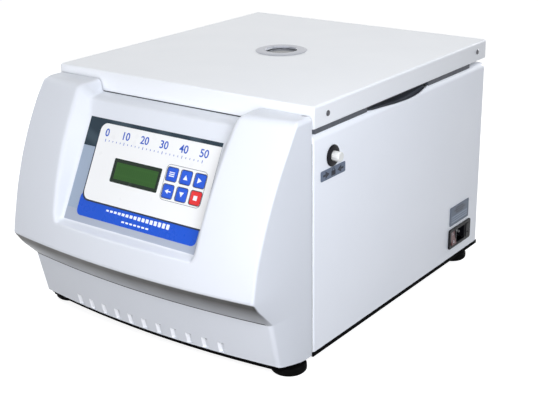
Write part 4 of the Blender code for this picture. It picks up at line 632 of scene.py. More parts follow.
def lcd_glass():
    """The display's green field with its faint character cells."""
    look = Look("lcd_glass", ink("2f5526"), 0.22, specular_ior_level=0.15, coat_weight=0.05, coat_roughness=0.08)
    look.tint(look.spread(look.bricks(0.0033, 0.0052, 0.0004), 0.0, 0.35, 0.0, 1.0), ink("38622c"))
    look.patches(25.0, 2.0, 0.5, ink("2c5424"))
    look.grain(300.0, 1.0, 0.00001, 0.2)
    return look.material


def key_film(name, code, light):
    look = Look(name, ink(code), 0.30, specular_ior_level=0.30, coat_weight=0.10, coat_roughness=0.12)
    look.patches(90.0, 2.0, 0.5, ink(light))
    look.grain(900.0, 1.0, 0.00002, 0.3)
    return look.material


def smoked_glass():
    look = Look("smoked_glass", (0.16, 0.17, 0.18), 0.06, transmission_weight=0.55, ior=1.49)
    look.patches(30.0, 2.0, 0.4, (0.20, 0.21, 0.22))
    look.grain(40.0, 1.0, 0.00003, 0.3)
    return look.material


def circuit_board():
    look = Look("circuit_board", (0.012, 0.16, 0.055), 0.38, coat_weight=0.3, coat_roughness=0.2)
    tracks = look.bricks(0.016, 0.0031, 0.00035, 0.37)
    look.tint(look.spread(tracks, 0.0, 0.7, 0.0, 1.0), (0.03, 0.33, 0.12))
    look.grain(500.0, 2.0, 0.00003, 0.3)
    return look.material


# WHITE, the case's coat, is a bluer, lighter copy of the lid's white, tuned to the blue shade on the case's sides:
# partly painted light.
WHITE = (0.845, 0.87, 0.92)
STEEL = (0.60, 0.61, 0.62)
ALLOY = (0.70, 0.71, 0.72)
ROTOR_CENTRE = (ORIGIN.x, ORIGIN.y + ROTOR_Y, 0.0)
LOOKS = {
    "case": powder_coat("white_powder_coat", WHITE),
    "lid": powder_coat("lid_powder_coat", (0.80, 0.815, 0.84)),
    "liner": powder_coat("liner_powder_coat", (0.74, 0.76, 0.79)),
    # The fascia's moulding carries painted shade under the belly and painted highlights on the notches' walls.
    "fascia": moulded("white_moulding", (0.700, 0.722, 0.765), 0.42, 0.22, undercut),
    "deck": dark_plastic("deck_moulding", (0.060, 0.066, 0.078), 0.48, 0.25),
    "black_steel": dark_plastic("black_paint", (0.0015, 0.0015, 0.0018), 0.60, 0.01),
    "black": dark_plastic("black_moulding", (0.006, 0.006, 0.008), 0.36, 0.10),
    "rubber": rubber("black_rubber"),
    "steel": brushed("brushed_steel", STEEL, (1.0, 14.0, 14.0)),
    "bowl": lathed("spun_steel", STEEL, ROTOR_CENTRE, 0.24),
    "alloy": lathed("turned_alloy", ALLOY, ROTOR_CENTRE, 0.30),
    "zinc": brushed("zinc_steel", (0.52, 0.53, 0.52), (6.0, 1.0, 6.0), 0.36),
    "screw": brushed("dark_screw", (0.10, 0.10, 0.11), (20.0, 3.0, 3.0), 0.30),
    "ring": moulded("grey_ring", ink("b4b6bd"), 0.34),
    "glass": smoked_glass(),
    "knob": moulded("white_knob", ink("dcdcd8"), 0.32),
    "side_plate": printed("side_plate_print", "59667a", 0.34),
    "fuse_print": printed("fuse_print", "536174", 0.34, 0.85),
    "side_mark": printed("side_mark_print", "0e1628", 0.34),
    "pale_mark": printed("pale_mark_print", "a9b8cb", 0.34),
    "rocker": moulded("red_rocker", (0.085, 0.020, 0.022), 0.36),
    "panel_white": printed("panel_white", "eaeae9", 0.32, 0.975),
    "panel_blue": printed("panel_blue", "1650c2", 0.28),
    "panel_grey": printed("panel_grey", "a3aab8", 0.32),
    "panel_slate_blue": printed("panel_slate_blue", "97a4b6", 0.32),
    "panel_slate": slate_print(),
    "panel_line": printed("panel_line", "232c3c", 0.32),
    "panel_thin": printed("panel_thin", "565b64", 0.32),
    "panel_mark": printed("panel_mark", "2d57b8", 0.30),
    "white_mark": printed("white_mark", "e9eef8", 0.30),
    "lcd_frame": printed("lcd_frame", "16261a", 0.22),
    "lcd": lcd_glass(),
    "blue_key": key_film("blue_key", "1d50c4", "2a61d6"),
    "red_key": key_film("red_key", "d8262b", "e2423f"),
    "board": circuit_board(),
}


# Front fascia
def bow(x):
    """How far the front bulges forward of its sides at this width."""
    return FASCIA_BOW * (1 - (x / HALF_WIDTH) ** 2)


def front_point(share):
    """The shoulder's front, from the brow at 0 to the belly at 1, as one shallow arc."""
    top = Vector((-BROW_REACH, FASCIA_TOP - BROW_DROP))
    bottom = Vector((-FASCIA_REACH, BELLY_Z))
    chord = bottom - top
    out = Vector((chord.y, -chord.x)).normalized()
    return top + chord * share + out * (FASCIA_CROWN * 4 * share * (1 - share))


def front_at(z):
    """The same arc's point at a height, found by halving."""
    low, high = 0.0, 1.0
    for _ in range(40):
        middle = (low + high) / 2
        if front_point(middle).y > z:
            low = middle
        else:
            high = middle
    return front_point((low + high) / 2)


def well_floor(z):
    return -PANEL_LOW_REACH + (z - PANEL_LOW_Z) * math.tan(PANEL_TILT)


WINDOW_U = PANEL_WIDTH / 2 - PANEL_SEAT
WINDOW_LOW_Z = PANEL_LOW_Z + PANEL_SEAT * math.cos(PANEL_TILT)
WINDOW_HIGH_Z = PANEL_LOW_Z + (PANEL_HEIGHT - PANEL_SEAT) * math.cos(PANEL_TILT)
WELL_TOP_Z = LEDGE_Z - BROW_DROP / 2
WELL_LOW_Z = PANEL_LOW_Z - 0.0012
UPPER_ROWS = 30
LEDGE_ROWS = 4
LOWER_ROWS = 6
SKIRT_ROWS = 8
WINDOW_COLUMNS = 4
SETBACK_STEPS = 6


def upper_shares():
    """Shares of the way from the brow to the crease, with one at each edge of the panel's window."""
    edges = [(WELL_TOP_Z - z) / (WELL_TOP_Z - WELL_LOW_Z) * WELL_FOOT_SHARE for z in (WINDOW_HIGH_Z, WINDOW_LOW_Z)]
    steps = [WELL_FOOT_SHARE * s for s in shares(UPPER_ROWS)]
    steps = [s for s in steps if all(abs(s - edge) > WELL_FOOT_SHARE / UPPER_ROWS / 3 for edge in edges)]
    last = [WELL_FOOT_SHARE + (1 - WELL_FOOT_SHARE) * s for s in shares(LEDGE_ROWS)[1:]]
    return sorted(steps + edges + last), edges


def side_round(z):
    """How far the side draws in near the shoulder's top, so that its upper edge is round."""
    depth = FASCIA_CORNER - (FASCIA_TOP - z)
    return FASCIA_CORNER - math.sqrt(max(FASCIA_CORNER ** 2 - depth ** 2, 0.0)) if depth > 0 else 0.0


def fascia_row(y, z, well, half, ridge, inset, bow_share, corner_radius=FASCIA_CORNER, drop=0.0):
    """One row of the right half, from the middle out to the side, back to the case and in to the flange.

    The side's part of the row sinks by a multiple of drop.
    """
    points = []
    for x in [WINDOW_U * share for share in shares(WINDOW_COLUMNS)] + [half]:
        points.append((x, y - bow(x) * bow_share, z) if well is None else (x, *well(x)))
    foot = len(points) - 1
    end = HALF_WIDTH - SIDE_INSET - side_round(z)
    side = min(HALF_WIDTH - inset - side_round(z), end)
    corner = min(corner_radius, -y / 2)
    start = side - corner
    points += [(x, y - bow(x) * bow_share, z) for x in (ridge + (start - ridge) * s for s in shares(7))]
    front = y - bow(start) * bow_share
    slope = SIDE_POWER * (end - side) / max(-y, FASCIA_FLANGE)
    turn = arc((start, 0.0), corner, -75, -math.degrees(math.atan(slope)), 6)
    for i, (cx, cy) in enumerate(turn):
        points.append((cx, front + corner + cy, z - drop * TURN_SINK * i / (len(turn) - 1)))
    turned_x, turned_y = points[-1][:2]
    roll = SIDE_ROLL * min(1.0, (FASCIA_TOP - z) / CREASE_Z * ROLL_GROWTH)
    for s in SIDE_STEPS:
        sunk = z - drop * (TURN_SINK + SIDE_SINK * min(1.0, s / SINK_LENGTH))
        out = turned_x + (end - turned_x) * (1 - (1 - s) ** SIDE_POWER)
        points.append((out, turned_y + (-roll - turned_y) * s, sunk))
    foot_z = z - drop * (SEAM_SINK + SIDE_SINK)
    points += [(end - roll * (1 - c), -roll + roll * s, foot_z) for c, s in ROLL_TURN]
    points.append((HALF_WIDTH - FASCIA_FLANGE, 0.0, foot_z))
    points = [(px, py - GAP, pz) for px, py, pz in points]
    return rounded(points, {foot: WELL_EDGE_SETBACK, foot + 1: RIDGE_SETBACK}, SETBACK_STEPS)


def upper_row(share, crease):
    """One row of the shoulders and of the well between them, down to the crease."""
    top_z = FASCIA_TOP - BROW_DROP
    y, z = front_at(top_z - (top_z - CREASE_Z) * share)
    floor_z = WELL_TOP_Z + (WELL_LOW_Z - WELL_TOP_Z) * min(share / WELL_FOOT_SHARE, 1.0)
    beyond = max(0.0, (share - WELL_FOOT_SHARE) / (1 - WELL_FOOT_SHARE))

    def well(x):
        foot = Vector((well_floor(floor_z), floor_z))
        return foot.lerp(Vector((crease.x - bow(x), CREASE_Z)), beyond)

    half = WELL_X + (WELL_FRONT_X - WELL_X) * max(0.0, 1 - 6 * share)
    ridge = RIDGE_TOP_X + (RIDGE_BOTTOM_X - RIDGE_TOP_X) * share
    return fascia_row(y, z, well, half, ridge, FASCIA_TAPER * share, 1.0)


def fascia_rows():
    """The rows from the top back edge to the skirt, the setbacks of the rounded ones, and the window's rows."""
    top_y = -BROW_REACH * BROW_SHARE
    ledge_y = -LEDGE_REACH * LEDGE_SHARE
    rows = [fascia_row(0.0, FASCIA_TOP, lambda x: (0.0, LEDGE_Z), WELL_BACK_X, RIDGE_TOP_X, 0.0, 0.0),
            fascia_row(top_y, FASCIA_TOP, lambda x: (ledge_y, LEDGE_Z), WELL_FRONT_X, RIDGE_TOP_X, 0.0, BROW_SHARE)]
    setbacks = dict(BROW_SETBACKS)
    steps, edges = upper_shares()
    crease = front_at(CREASE_Z)
    window = []
    for share in steps:
        if share in edges:
            window.append(len(rows))
        if abs(share - WELL_FOOT_SHARE) < MERGE:
            setbacks[len(rows)] = WELL_FOOT_SETBACK
        rows.append(upper_row(share, crease))
    setbacks[len(rows) - 1] = CREASE_SETBACK
    for share in shares(LOWER_ROWS)[1:]:
        y, z = front_at(CREASE_Z + (BELLY_Z - CREASE_Z) * share)
        rows.append(fascia_row(y, z, None, WELL_X, RIDGE_BOTTOM_X, FASCIA_TAPER, 1.0))
    setbacks[len(rows) - 1] = BELLY_SETBACK
    tail = [(GROOVE_REACH, GROOVE_Z, GROOVE_SETBACK), (SKIRT_TOP_REACH, SKIRT_TOP_Z, SKIRT_SETBACK)]
    for s in shares(SKIRT_ROWS)[1:]:
        z = SKIRT_TOP_Z + (SKIRT_FOOT_Z - SKIRT_TOP_Z) * s
        tail.append((SKIRT_BOTTOM_REACH + (SKIRT_TOP_REACH - SKIRT_BOTTOM_REACH) * z / SKIRT_TOP_Z, z, None))
    for reach, z, setback in tail:
        if setback:
            setbacks[len(rows)] = setback
        drop = SKIRT_FOOT_Z * max(0.0, SKIRT_TOP_Z - z) / (SKIRT_TOP_Z - SKIRT_FOOT_Z)
        rows.append(fascia_row(-reach, z, None, WELL_X, RIDGE_BOTTOM_X, FASCIA_TAPER, 1.0, SKIRT_CORNER, drop))
    return rows, setbacks, window


def notch_cutters():
    """The notches' slanted cutters and, apart from them, those of the slot at the top of each."""
    lean = Matrix.Rotation(math.atan((SKIRT_TOP_REACH - SKIRT_BOTTOM_REACH) / SKIRT_TOP_Z), 4, "X")
    half = NOTCH_WIDTH / 2
    outline = [(-half, -CUT_REACH), (half, -CUT_REACH), (half, NOTCH_DEPTH), (-half + NOTCH_SLOPE, NOTCH_DEPTH),
               (-half, 0.0)]
    notches, slots = [], []
    for i in range(NOTCH_COUNT):
        x = (i - (NOTCH_COUNT - 1) / 2) * NOTCH_PITCH
        follow = Matrix.Rotation(math.atan(2 * FASCIA_BOW * x / HALF_WIDTH ** 2), 4, "Z")
        seat = Matrix.Translation((x, -SKIRT_BOTTOM_REACH - bow(x) - GAP, 0.0))
        notches.append(plate("notch", [outline], SKIRT_FOOT_Z + NOTCH_SILL, NOTCH_HEIGHT))
        slots.append(block("slot", (-half + NOTCH_SLOPE, 0.0, NOTCH_HEIGHT - SLOT_HEIGHT),
                           (half - GAP, SLOT_DEPTH, NOTCH_HEIGHT - GAP)))
        for cutter in (notches[-1], slots[-1]):
            cutter.transform(seat @ follow @ lean)
    return notches, slots


def build_fascia():
    rows, setbacks, window = fascia_rows()
    columns = [rounded(column, setbacks, SETBACK_STEPS) for column in zip(*rows)]
    widened = [index + SETBACK_STEPS * sum(1 for at in setbacks if at < index) for index in window]
    half_rows = list(zip(*columns))
    full = [[Vector((-p.x, p.y, p.z)) for p in row[:0:-1]] + list(row) for row in half_rows]
    middle = len(half_rows[0]) - 1

    def in_window(i, j):
        return widened[0] <= i < widened[1] and middle - WINDOW_COLUMNS <= j < middle + WINDOW_COLUMNS

    shell = walled(skin("fascia", full, holes=in_window), FASCIA_WALL)
    for cutters in notch_cutters():
        shell = cut(shell, *cutters)
    stand_in("front_fascia", shell, "fascia")


def bowed_strip(name, node, reach, width, low, high):
    """A rubber strip that follows the bow, with its front at a reach."""
    half = HALF_WIDTH - FASCIA_TAPER - SKIRT_CORNER
    front = [(x, -reach - bow(x)) for x in (half * (2 * s - 1) for s in shares(28))]
    back = [(x, y + width) for x, y in reversed(front)]
    add_piece(name, plate(name, [front + back], low, high, GAP), "rubber", node)


def build_strips():
    """The trim under the skirt, behind its face, and a black strip along its top that stands in for the shade in the
    crease there: painted shade.
    """
    bowed_strip("front_strip", "base_pan", SKIRT_BOTTOM_REACH - STRIP_INSET, STRIP_WIDTH, 0.0, SKIRT_FOOT_Z - GAP)
    # Painted shade: a black strip put in the crease above the skirt.
    shade_strip_z = SKIRT_TOP_Z + SHADE_STRIP_RISE
    bowed_strip("crease_shade_strip", "front_fascia", SKIRT_TOP_REACH + SHADE_STRIP_REACH, SHADE_STRIP_WIDTH, shade_strip_z, shade_strip_z + SHADE_STRIP_REACH)


# Case and feet
def case_path(inset):
    """The right half of the case's plan, from the front back and round to the middle of the rear."""
    lip = max(CASE_LIP - inset * 0.05, SHEET)
    radius = max(CASE_CORNER - inset, SHEET / 4)
    points = arc((HALF_WIDTH - inset - lip, lip), lip, -90, 0, 4)
    points += [(HALF_WIDTH - inset, CASE_DEPTH * s) for s in (0.03, 0.25, 0.5, 0.75, 0.92)]
    points += arc((HALF_WIDTH - inset - radius, CASE_DEPTH - inset - radius), radius, 0, 90, 8)
    points.append((0.0, CASE_DEPTH - inset))
    return points


def case_section():
    """Inset and height of the section, from the flange over the round edge and down the wall."""
    edge = arc((CASE_EDGE, CASE_HEIGHT - CASE_EDGE), CASE_EDGE, 90, 180, 12)
    return [(CASE_FLANGE, CASE_HEIGHT), *edge, (0.0, 0.0)]


def scoop_cutter():
    """A prism across the case that takes out both finger scoops."""
    line = [(SCOOP_FRONT_Y + SCOOP_LENGTH * s, CASE_HEIGHT - SCOOP_DEPTH * drop) for s, drop in SCOOP_SHARES]
    soft = [(p.x, p.y) for p in rounded(line, {i: 0.005 for i in range(1, len(line) - 1)}, 3)]
    above = CASE_HEIGHT + CASE_EDGE
    reach = HALF_WIDTH + CASE_EDGE
    cutter = plate("scoops", [[*soft, (line[-1][0], above), (line[0][0], above)]], -reach, reach)
    cutter.transform(SIDEWAYS)
    return cutter


def hole_cutters():
    """Cutters for the lock's, the inlet's and the rear panel's holes."""
    lock_low, lock_high = cad_box("lock_bezel")
    lock_y, lock_z = (lock_low.y + lock_high.y) / 2, (lock_low.z + lock_high.z) / 2
    inlet_low, inlet_high = cad_box("inlet_housing")
    rear_low, rear_high = cad_box("rear_panel")
    edge, frame_width = INLET_HOLE_MARGIN, REAR_HOLE_MARGIN
    start, end = HALF_WIDTH - 0.02, HALF_WIDTH + 0.01
    return [rod("lock_hole", (start, lock_y, lock_z), (end, lock_y, lock_z), LOCK_HOLE_RADIUS),
            block("inlet_hole", (HALF_WIDTH - CUT_REACH, inlet_low.y + edge, inlet_low.z + edge),
                  (HALF_WIDTH + CUT_REACH, inlet_high.y - edge, inlet_high.z - edge)),
            block("rear_hole", (rear_low.x + frame_width, CASE_DEPTH - CUT_REACH, rear_low.z + frame_width),
                  (rear_high.x - frame_width, CASE_DEPTH + CUT_REACH, rear_high.z - frame_width))]


def build_case():
    """The folded sheet with its scoops and holes, and with its flange cut back along the scoops."""
    rows = [lifted(case_path(inset), z) for inset, z in case_section()]
    full = [[Vector((-x, y, z)) for x, y, z in row[:-1]] + [Vector(p) for p in row[::-1]] for row in rows]
    shell = cut(walled(skin("case", full), SHEET), scoop_cutter(), *hole_cutters())
    reach = HALF_WIDTH - CASE_EDGE * FLANGE_GAP_SHARE
    low = (-reach, SCOOP_FRONT_Y + CUT_REACH, CASE_HEIGHT - FLANGE_GAP_DEPTH)
    high = (reach, SCOOP_FRONT_Y + SCOOP_LENGTH + FLANGE_GAP_REAR, CASE_HEIGHT + CUT_REACH)
    stand_in("case_wrap", cut(shell, block("flange_gap", low, high)), "case")


FOOT_RECESS_RADIUS = 0.012
FOOT_RECESS_DEPTH = 0.005
FOOT_STEM = 0.004


def build_feet():
    """Rubber feet with a moulded waist and a hollow underside."""
    top = cad_box("base_pan")[0].z - GAP
    for word in ("front_left", "front_right", "rear_left", "rear_right"):
        low, high = cad_box("foot_" + word)
        centre = (low + high) / 2
        radius = (high.x - low.x) / 2
        recess = low.z + FOOT_RECESS_DEPTH
        profile = [(0.0, high.z), (0.0034, high.z), (FOOT_STEM, high.z - 0.0024), (FOOT_STEM, top),
                   (radius * 0.955, top), (radius, top - 0.0018), (radius, low.z + 0.0022), (radius - 0.0022, low.z),
                   (FOOT_RECESS_RADIUS, low.z), (FOOT_RECESS_RADIUS - 0.001, recess), (0.0, recess)]
        mesh = turned("foot", profile, setback=0.0008, loop=False)
        stand_in("foot_" + word, mesh, "rubber", Matrix.Translation((centre.x, centre.y, 0.0)))


# Lid
def window_rim(outline, z):
    """The rim of the lid window's hole, with a point towards each point of an outline."""
    ways = [Vector((x, y - ROTOR_Y)).normalized() for x, y, _ in outline]
    radius = SIGHT_TUBE_RADIUS + GAP
    return [(way.x * radius, ROTOR_Y + way.y * radius, z) for way in ways]


def build_tray(node, look, section, corner, steps):
    """A folded sheet of the lid, from its section of insets and heights, with the window's hole."""
    low, high = cad_box(node)
    rings = [lifted(rounded_outline((low.x + inset, low.y + inset), (high.x - inset, high.y - inset),
                                    max(corner - inset, GAP), steps), z) for inset, z in section]
    rings = [window_rim(rings[0], section[0][1]), *rings, window_rim(rings[-1], section[-1][1])]
    rings.append(rings[0])
    stand_in(node, skin(node, rings, closed=True), look)


def build_lid():
    """The cover, with round top edges and a hem along the bottom, and the liner, with round lower edges."""
    low, high = cad_box("lid_cover")
    top, bottom = high.z, low.z
    inner = LID_EDGE + SHEET
    section = [(LID_EDGE * 3, top), *arc((LID_EDGE, top - LID_EDGE), LID_EDGE, 90, 180, 8)]
    section += [(0.0, bottom + 0.0006), (0.0006, bottom), (LID_HEM, bottom), (LID_HEM, bottom + SHEET),
                (SHEET, bottom + SHEET), (SHEET, top - inner), (inner, top - SHEET), (LID_EDGE * 3, top - SHEET)]
    build_tray("lid_cover", "lid", section, LID_CORNER, 8)
    low, high = cad_box("lid_liner")
    top, bottom = high.z, low.z
    section = [(LID_EDGE * 4, bottom), *arc((LID_EDGE, bottom + LID_EDGE), LID_EDGE, 270, 180, 6)]
    section += [(0.0, top), (SHEET, top), (SHEET, bottom + LID_EDGE), (LID_EDGE, bottom + SHEET),
                (LID_EDGE * 4, bottom + SHEET)]
    build_tray("lid_liner", "liner", section, LINER_CORNER, 6)


def build_sight():
    ring_low, ring_high = cad_box("sight_ring")
    glass_low, glass_high = cad_box("sight_glass")
    tube_low, tube_high = cad_box("sight_tube")
    radius, top = (ring_high.x - ring_low.x) / 2, ring_high.z
    flange = (tube_high.x - tube_low.x) / 2
    seat = LID_TOP + GAP
    liner_z = cad_box("lid_liner")[0].z - GAP
    profile = [(radius - 0.0035, top - 0.0002), (radius, seat + 0.0002), (radius, seat), (SIGHT_TUBE_RADIUS, seat),
               (SIGHT_TUBE_RADIUS, ring_low.z), (SIGHT_RING_BORE, ring_low.z), (SIGHT_RING_BORE, top - 0.0009),
               (SIGHT_RING_BORE + 0.0009, top - 0.0001), (SIGHT_RING_BORE + 0.0035, top)]
    stand_in("sight_ring", turned("sight_ring", profile), "ring", AXIS_PLACE)
    profile = [(0.0, glass_high.z), (SIGHT_TUBE_RADIUS, glass_high.z), (SIGHT_TUBE_RADIUS, glass_low.z),
               (0.0, glass_low.z)]
    stand_in("sight_glass", turned("sight_glass", profile, loop=False), "glass", AXIS_PLACE)
    profile = [(SIGHT_TUBE_RADIUS, tube_high.z), (SIGHT_TUBE_RADIUS, liner_z), (flange, liner_z), (flange, tube_low.z),
               (SIGHT_TUBE_BORE, tube_low.z), (SIGHT_TUBE_BORE, tube_high.z)]
    stand_in("sight_tube", turned("sight_tube", profile), "black", AXIS_PLACE)


SEAL_LIP = 0.0014


def build_seal():
    low, high = cad_box("lid_seal")
    outer = (high.x - low.x) / 2
    inner = outer - 0.007
    shoulder = low.z + 0.0012
    profile = [(outer, high.z), (outer, shoulder), (outer - SEAL_LIP, low.z), (inner + SEAL_LIP, low.z),
               (inner, shoulder), (inner, high.z)]
    stand_in("lid_seal", turned("lid_seal", profile, 160, 0.0008), "rubber", AXIS_PLACE)


def screw_mesh(radius, height, shank, length):
    """A pan-head screw with a cross recess; its seat is at the origin and its head points up."""
    profile = [(0.0, height), (radius * 0.55, height * 0.96), (radius * 0.85, height * 0.72), (radius, height * 0.25),
               (radius, 0.0), (shank, 0.0), (shank, -length), (0.0, -length)]
    head = turned("screw", profile, SMALL_STEPS, 0.0002, loop=False)
    depth, half, reach = height * 0.6, radius * 0.22 / 2, radius * 0.55
    cross = [block("slot", (-u, -v, -depth), (u, v, depth)) for u, v in ((reach, half), (half, reach))]
    for cutter in cross:
        cutter.transform(Matrix.Translation((0.0, 0.0, height)))
    return cut(head, *cross)


def build_lid_screws():
    for number in range(1, 5):
        node = "lid_screw_" + str(number)
        low, high = cad_box(node)
        side = 1 if high.x > 0 else -1
        seat = Vector((side * (HALF_WIDTH + GAP), (low.y + high.y) / 2, (low.z + high.z) / 2))
        turn = Matrix.Rotation(math.radians(90 * side), 4, "Y")
        mesh = screw_mesh((high.z - low.z) / 2, 0.0012, 0.0020, 0.008)
        stand_in(node, mesh, "screw", Matrix.Translation(seat) @ turn)


# Push lock
LOCK_SHANK = 0.009
LOCK_BORE = 0.0049
LOCK_WELL = 0.0098
KNOB_STEM = 0.0046
KNOB_FLUTES = 12
FLUTE_DEPTH = 0.07


def build_lock():
    low, high = cad_box("lock_bezel")
    centre = Vector((HALF_WIDTH, (low.y + high.y) / 2, (low.z + high.z) / 2))
    place = Matrix.Translation(centre) @ Matrix.Rotation(math.radians(90), 4, "Y")
    radius = (high.z - low.z) / 2
    face, back = high.x - HALF_WIDTH, low.x - HALF_WIDTH
    knob_low, knob_high = cad_box("lock_knob")
    knob = (knob_high.z - knob_low.z) / 2
    bore = knob + GAP
    profile = [(radius - 0.0042, face), (radius - 0.0012, face - 0.0006), (radius, face - 0.0016), (radius, GAP),
               (LOCK_SHANK, GAP), (LOCK_SHANK, back), (LOCK_BORE, back), (LOCK_BORE, face - LOCK_WELL),
               (bore, face - LOCK_WELL), (bore, face - 0.0004), (bore + 0.0006, face)]
    stand_in("lock_bezel", turned("lock_bezel", profile, setback=0.0004), "black", place)
    mesh = knob_mesh(knob, knob_low.x - HALF_WIDTH, knob_high.x - HALF_WIDTH, face - SHEET)
    stand_in("lock_knob", mesh, "knob", place)


def knob_mesh(radius, tip, reach, shoulder):
    """A push knob with shallow flutes down its sides and a dished end."""
    profile = [(0.0, reach - 0.0004, 0.0), (radius * 0.45, reach - 0.0003, 0.0), (radius * 0.72, reach, 0.0),
               (radius * 0.88, reach - 0.0001, 0.3), (radius * 0.97, reach - 0.0007, 0.7),
               (radius, reach - 0.0018, 1.0), (radius, shoulder, 1.0), (KNOB_STEM, shoulder, 0.0),
               (KNOB_STEM, tip + 0.0014, 0.0), (0.0032, tip, 0.0), (0.0, tip, 0.0)]
    return fluted("knob", profile, ROUND_STEPS, FLUTE_DEPTH,
                  lambda i: 0.5 - 0.5 * math.cos(KNOB_FLUTES * (2 * math.pi * i / ROUND_STEPS)))


# Side plates and inlet
MARK_RISE = 0.00008


def side_plate(node, look, marks):
    """A printed plate on the right side; marks are their look and their outlines round the plate's middle."""
    low, high = cad_box(node)
    centre = (low + high) / 2
    place = Matrix.Translation((0.0, centre.y, centre.z)) @ SIDEWAYS
    outline = around(0.0, 0.0, (high.y - low.y) / 2, (high.z - low.z) / 2, 0.0015)
    stand_in(node, plate(node, [outline], low.x, high.x - MARK_RISE, 0.0001), look, place)
    for i, (mark_look, outlines) in enumerate(marks):
        mark = plate(node + "_mark", outlines, high.x - MARK_RISE, high.x)
        add_piece(node + "_mark_" + str(i + 1), mark, mark_look, node, place=place)


def frame_outline(u, v, half_u, half_v, radius, width):
    return [around(u, v, half_u, half_v, radius),
            around(u, v, half_u - width, half_v - width, max(radius - width, 0.0002))]


def triangle(u, v, size, way):
    """A triangle that points along u (way 1 or -1) or along v (way 2 or -2)."""
    points = [(-size * 0.5, -size * 0.58), (size * 0.5, 0.0), (-size * 0.5, size * 0.58)]
    turn = math.radians({1: 0, 2: 90, -1: 180, -2: 270}[way])
    c, s = math.cos(turn), math.sin(turn)
    return [(u + x * c - y * s, v + x * s + y * c) for x, y in points]


def build_side_plates():
    """The lock's plate with a padlock between two arrows, and the fuse's with its sign over plain lines."""
    dark, pale = "side_mark", "pale_mark"
    arrows = [[triangle(side * 0.0125, 0.0, 0.0080, -side), around(side * 0.0190, 0.0, 0.0024, 0.0013, 0.0003)]
              for side in (-1, 1)]
    padlock = [frame_outline(0.0, 0.0014, 0.0030, 0.0036, 0.0028, 0.0011),
               [around(0.0, -0.0012, 0.0044, 0.0030, 0.0006)]]
    side_plate("lock_plate", "side_plate", [(dark, outlines) for outlines in arrows + padlock])
    sign = [frame_outline(0.0, 0.0066, 0.0105, 0.0040, 0.0006, 0.0014), [around(0.0, 0.0066, 0.0170, 0.0007, 0.0003)]]
    lines = [[around(0.0, v, 0.0235, 0.0005, 0.0002)] for v in (-0.0018, -0.0054, -0.0090)]
    side_plate("fuse_plate", "fuse_print", [(dark, outlines) for outlines in sign] + [(pale, line) for line in lines])


CELL_HALF = 0.0103
CELL_RISE = 0.002
CELL_INSET = 0.003
ROCKER_CELL_DEPTH = 0.015
SOCKET_DEPTH = 0.018
FUSE_CELL_DEPTH = 0.0223
BLADE_PLACES = ((-0.007, 0.0), (0.0, 0.004), (0.007, 0.0))
BLADE_REACH = (0.0182, 0.0055)
BLADE_HALF = (0.001, 0.002)


def build_inlet():
    """The mains inlet: a switch, a socket with three blades, and a fuse drawer with its pull."""
    low, high = cad_box("inlet_housing")
    rocker_low, rocker_high = cad_box("power_rocker")
    fuse_low, fuse_high = cad_box("fuse_drawer")
    face, middle = high.x, (low.z + high.z) / 2

    def cell(depth, start, end, edge):
        return block("cell", (face - depth, start - GAP, middle - CELL_HALF),
                     (face + CELL_RISE, end + GAP, middle + CELL_HALF), edge)

    outline = around((low.y + high.y) / 2, middle, (high.y - low.y) / 2, (high.z - low.z) / 2, 0.003)
    flange = plate("inlet_flange", [outline], HALF_WIDTH + GAP, face, 0.0006)
    body = block("inlet_back", (low.x, low.y + CELL_INSET, low.z + CELL_INSET),
                 (HALF_WIDTH + SHEET, high.y - CELL_INSET, high.z - CELL_INSET), 0.0006)
    start, end = rocker_high.y + GAP + CELL_INSET, fuse_low.y - GAP - CELL_INSET
    socket_y = (start + end) / 2
    socket = plate("cell", [around(socket_y, middle, (end - start) / 2, CELL_HALF, 0.0016)],
                   face - SOCKET_DEPTH, face + CELL_RISE)
    for made in (flange, socket):
        made.transform(SIDEWAYS)
    housing = cut(merged("inlet", [flange, body]), cell(ROCKER_CELL_DEPTH, rocker_low.y, rocker_high.y, 0.0004),
                  socket, cell(FUSE_CELL_DEPTH, fuse_low.y, fuse_high.y, 0.0002))
    stand_in("inlet_housing", housing, "black")
    half_y, half_z = BLADE_HALF
    for i, (dy, dz) in enumerate(BLADE_PLACES):
        blade = block("blade", (face - BLADE_REACH[0], socket_y + dy - half_y, middle + dz - half_z),
                      (face - BLADE_REACH[1], socket_y + dy + half_y, middle + dz + half_z), 0.0004)
        add_piece("inlet_blade_" + str(i + 1), blade, "steel", "inlet_housing")
    build_rocker(face, (rocker_low.y + rocker_high.y) / 2, middle, rocker_high.y - rocker_low.y)
    pull = block("pull", (face - 0.0006, fuse_low.y + 0.002, middle - 0.0042),
                 (face + 0.0020, fuse_high.y - 0.002, middle - 0.0022), 0.0003)
    stand_in("fuse_drawer", cut(block("drawer", fuse_low, fuse_high, 0.0004), pull), "black")


ROCKER_TILT = math.radians(10)
ROCKER_MARK_LIFT = 0.0029
ROCKER_MARK_SHARE = 0.62


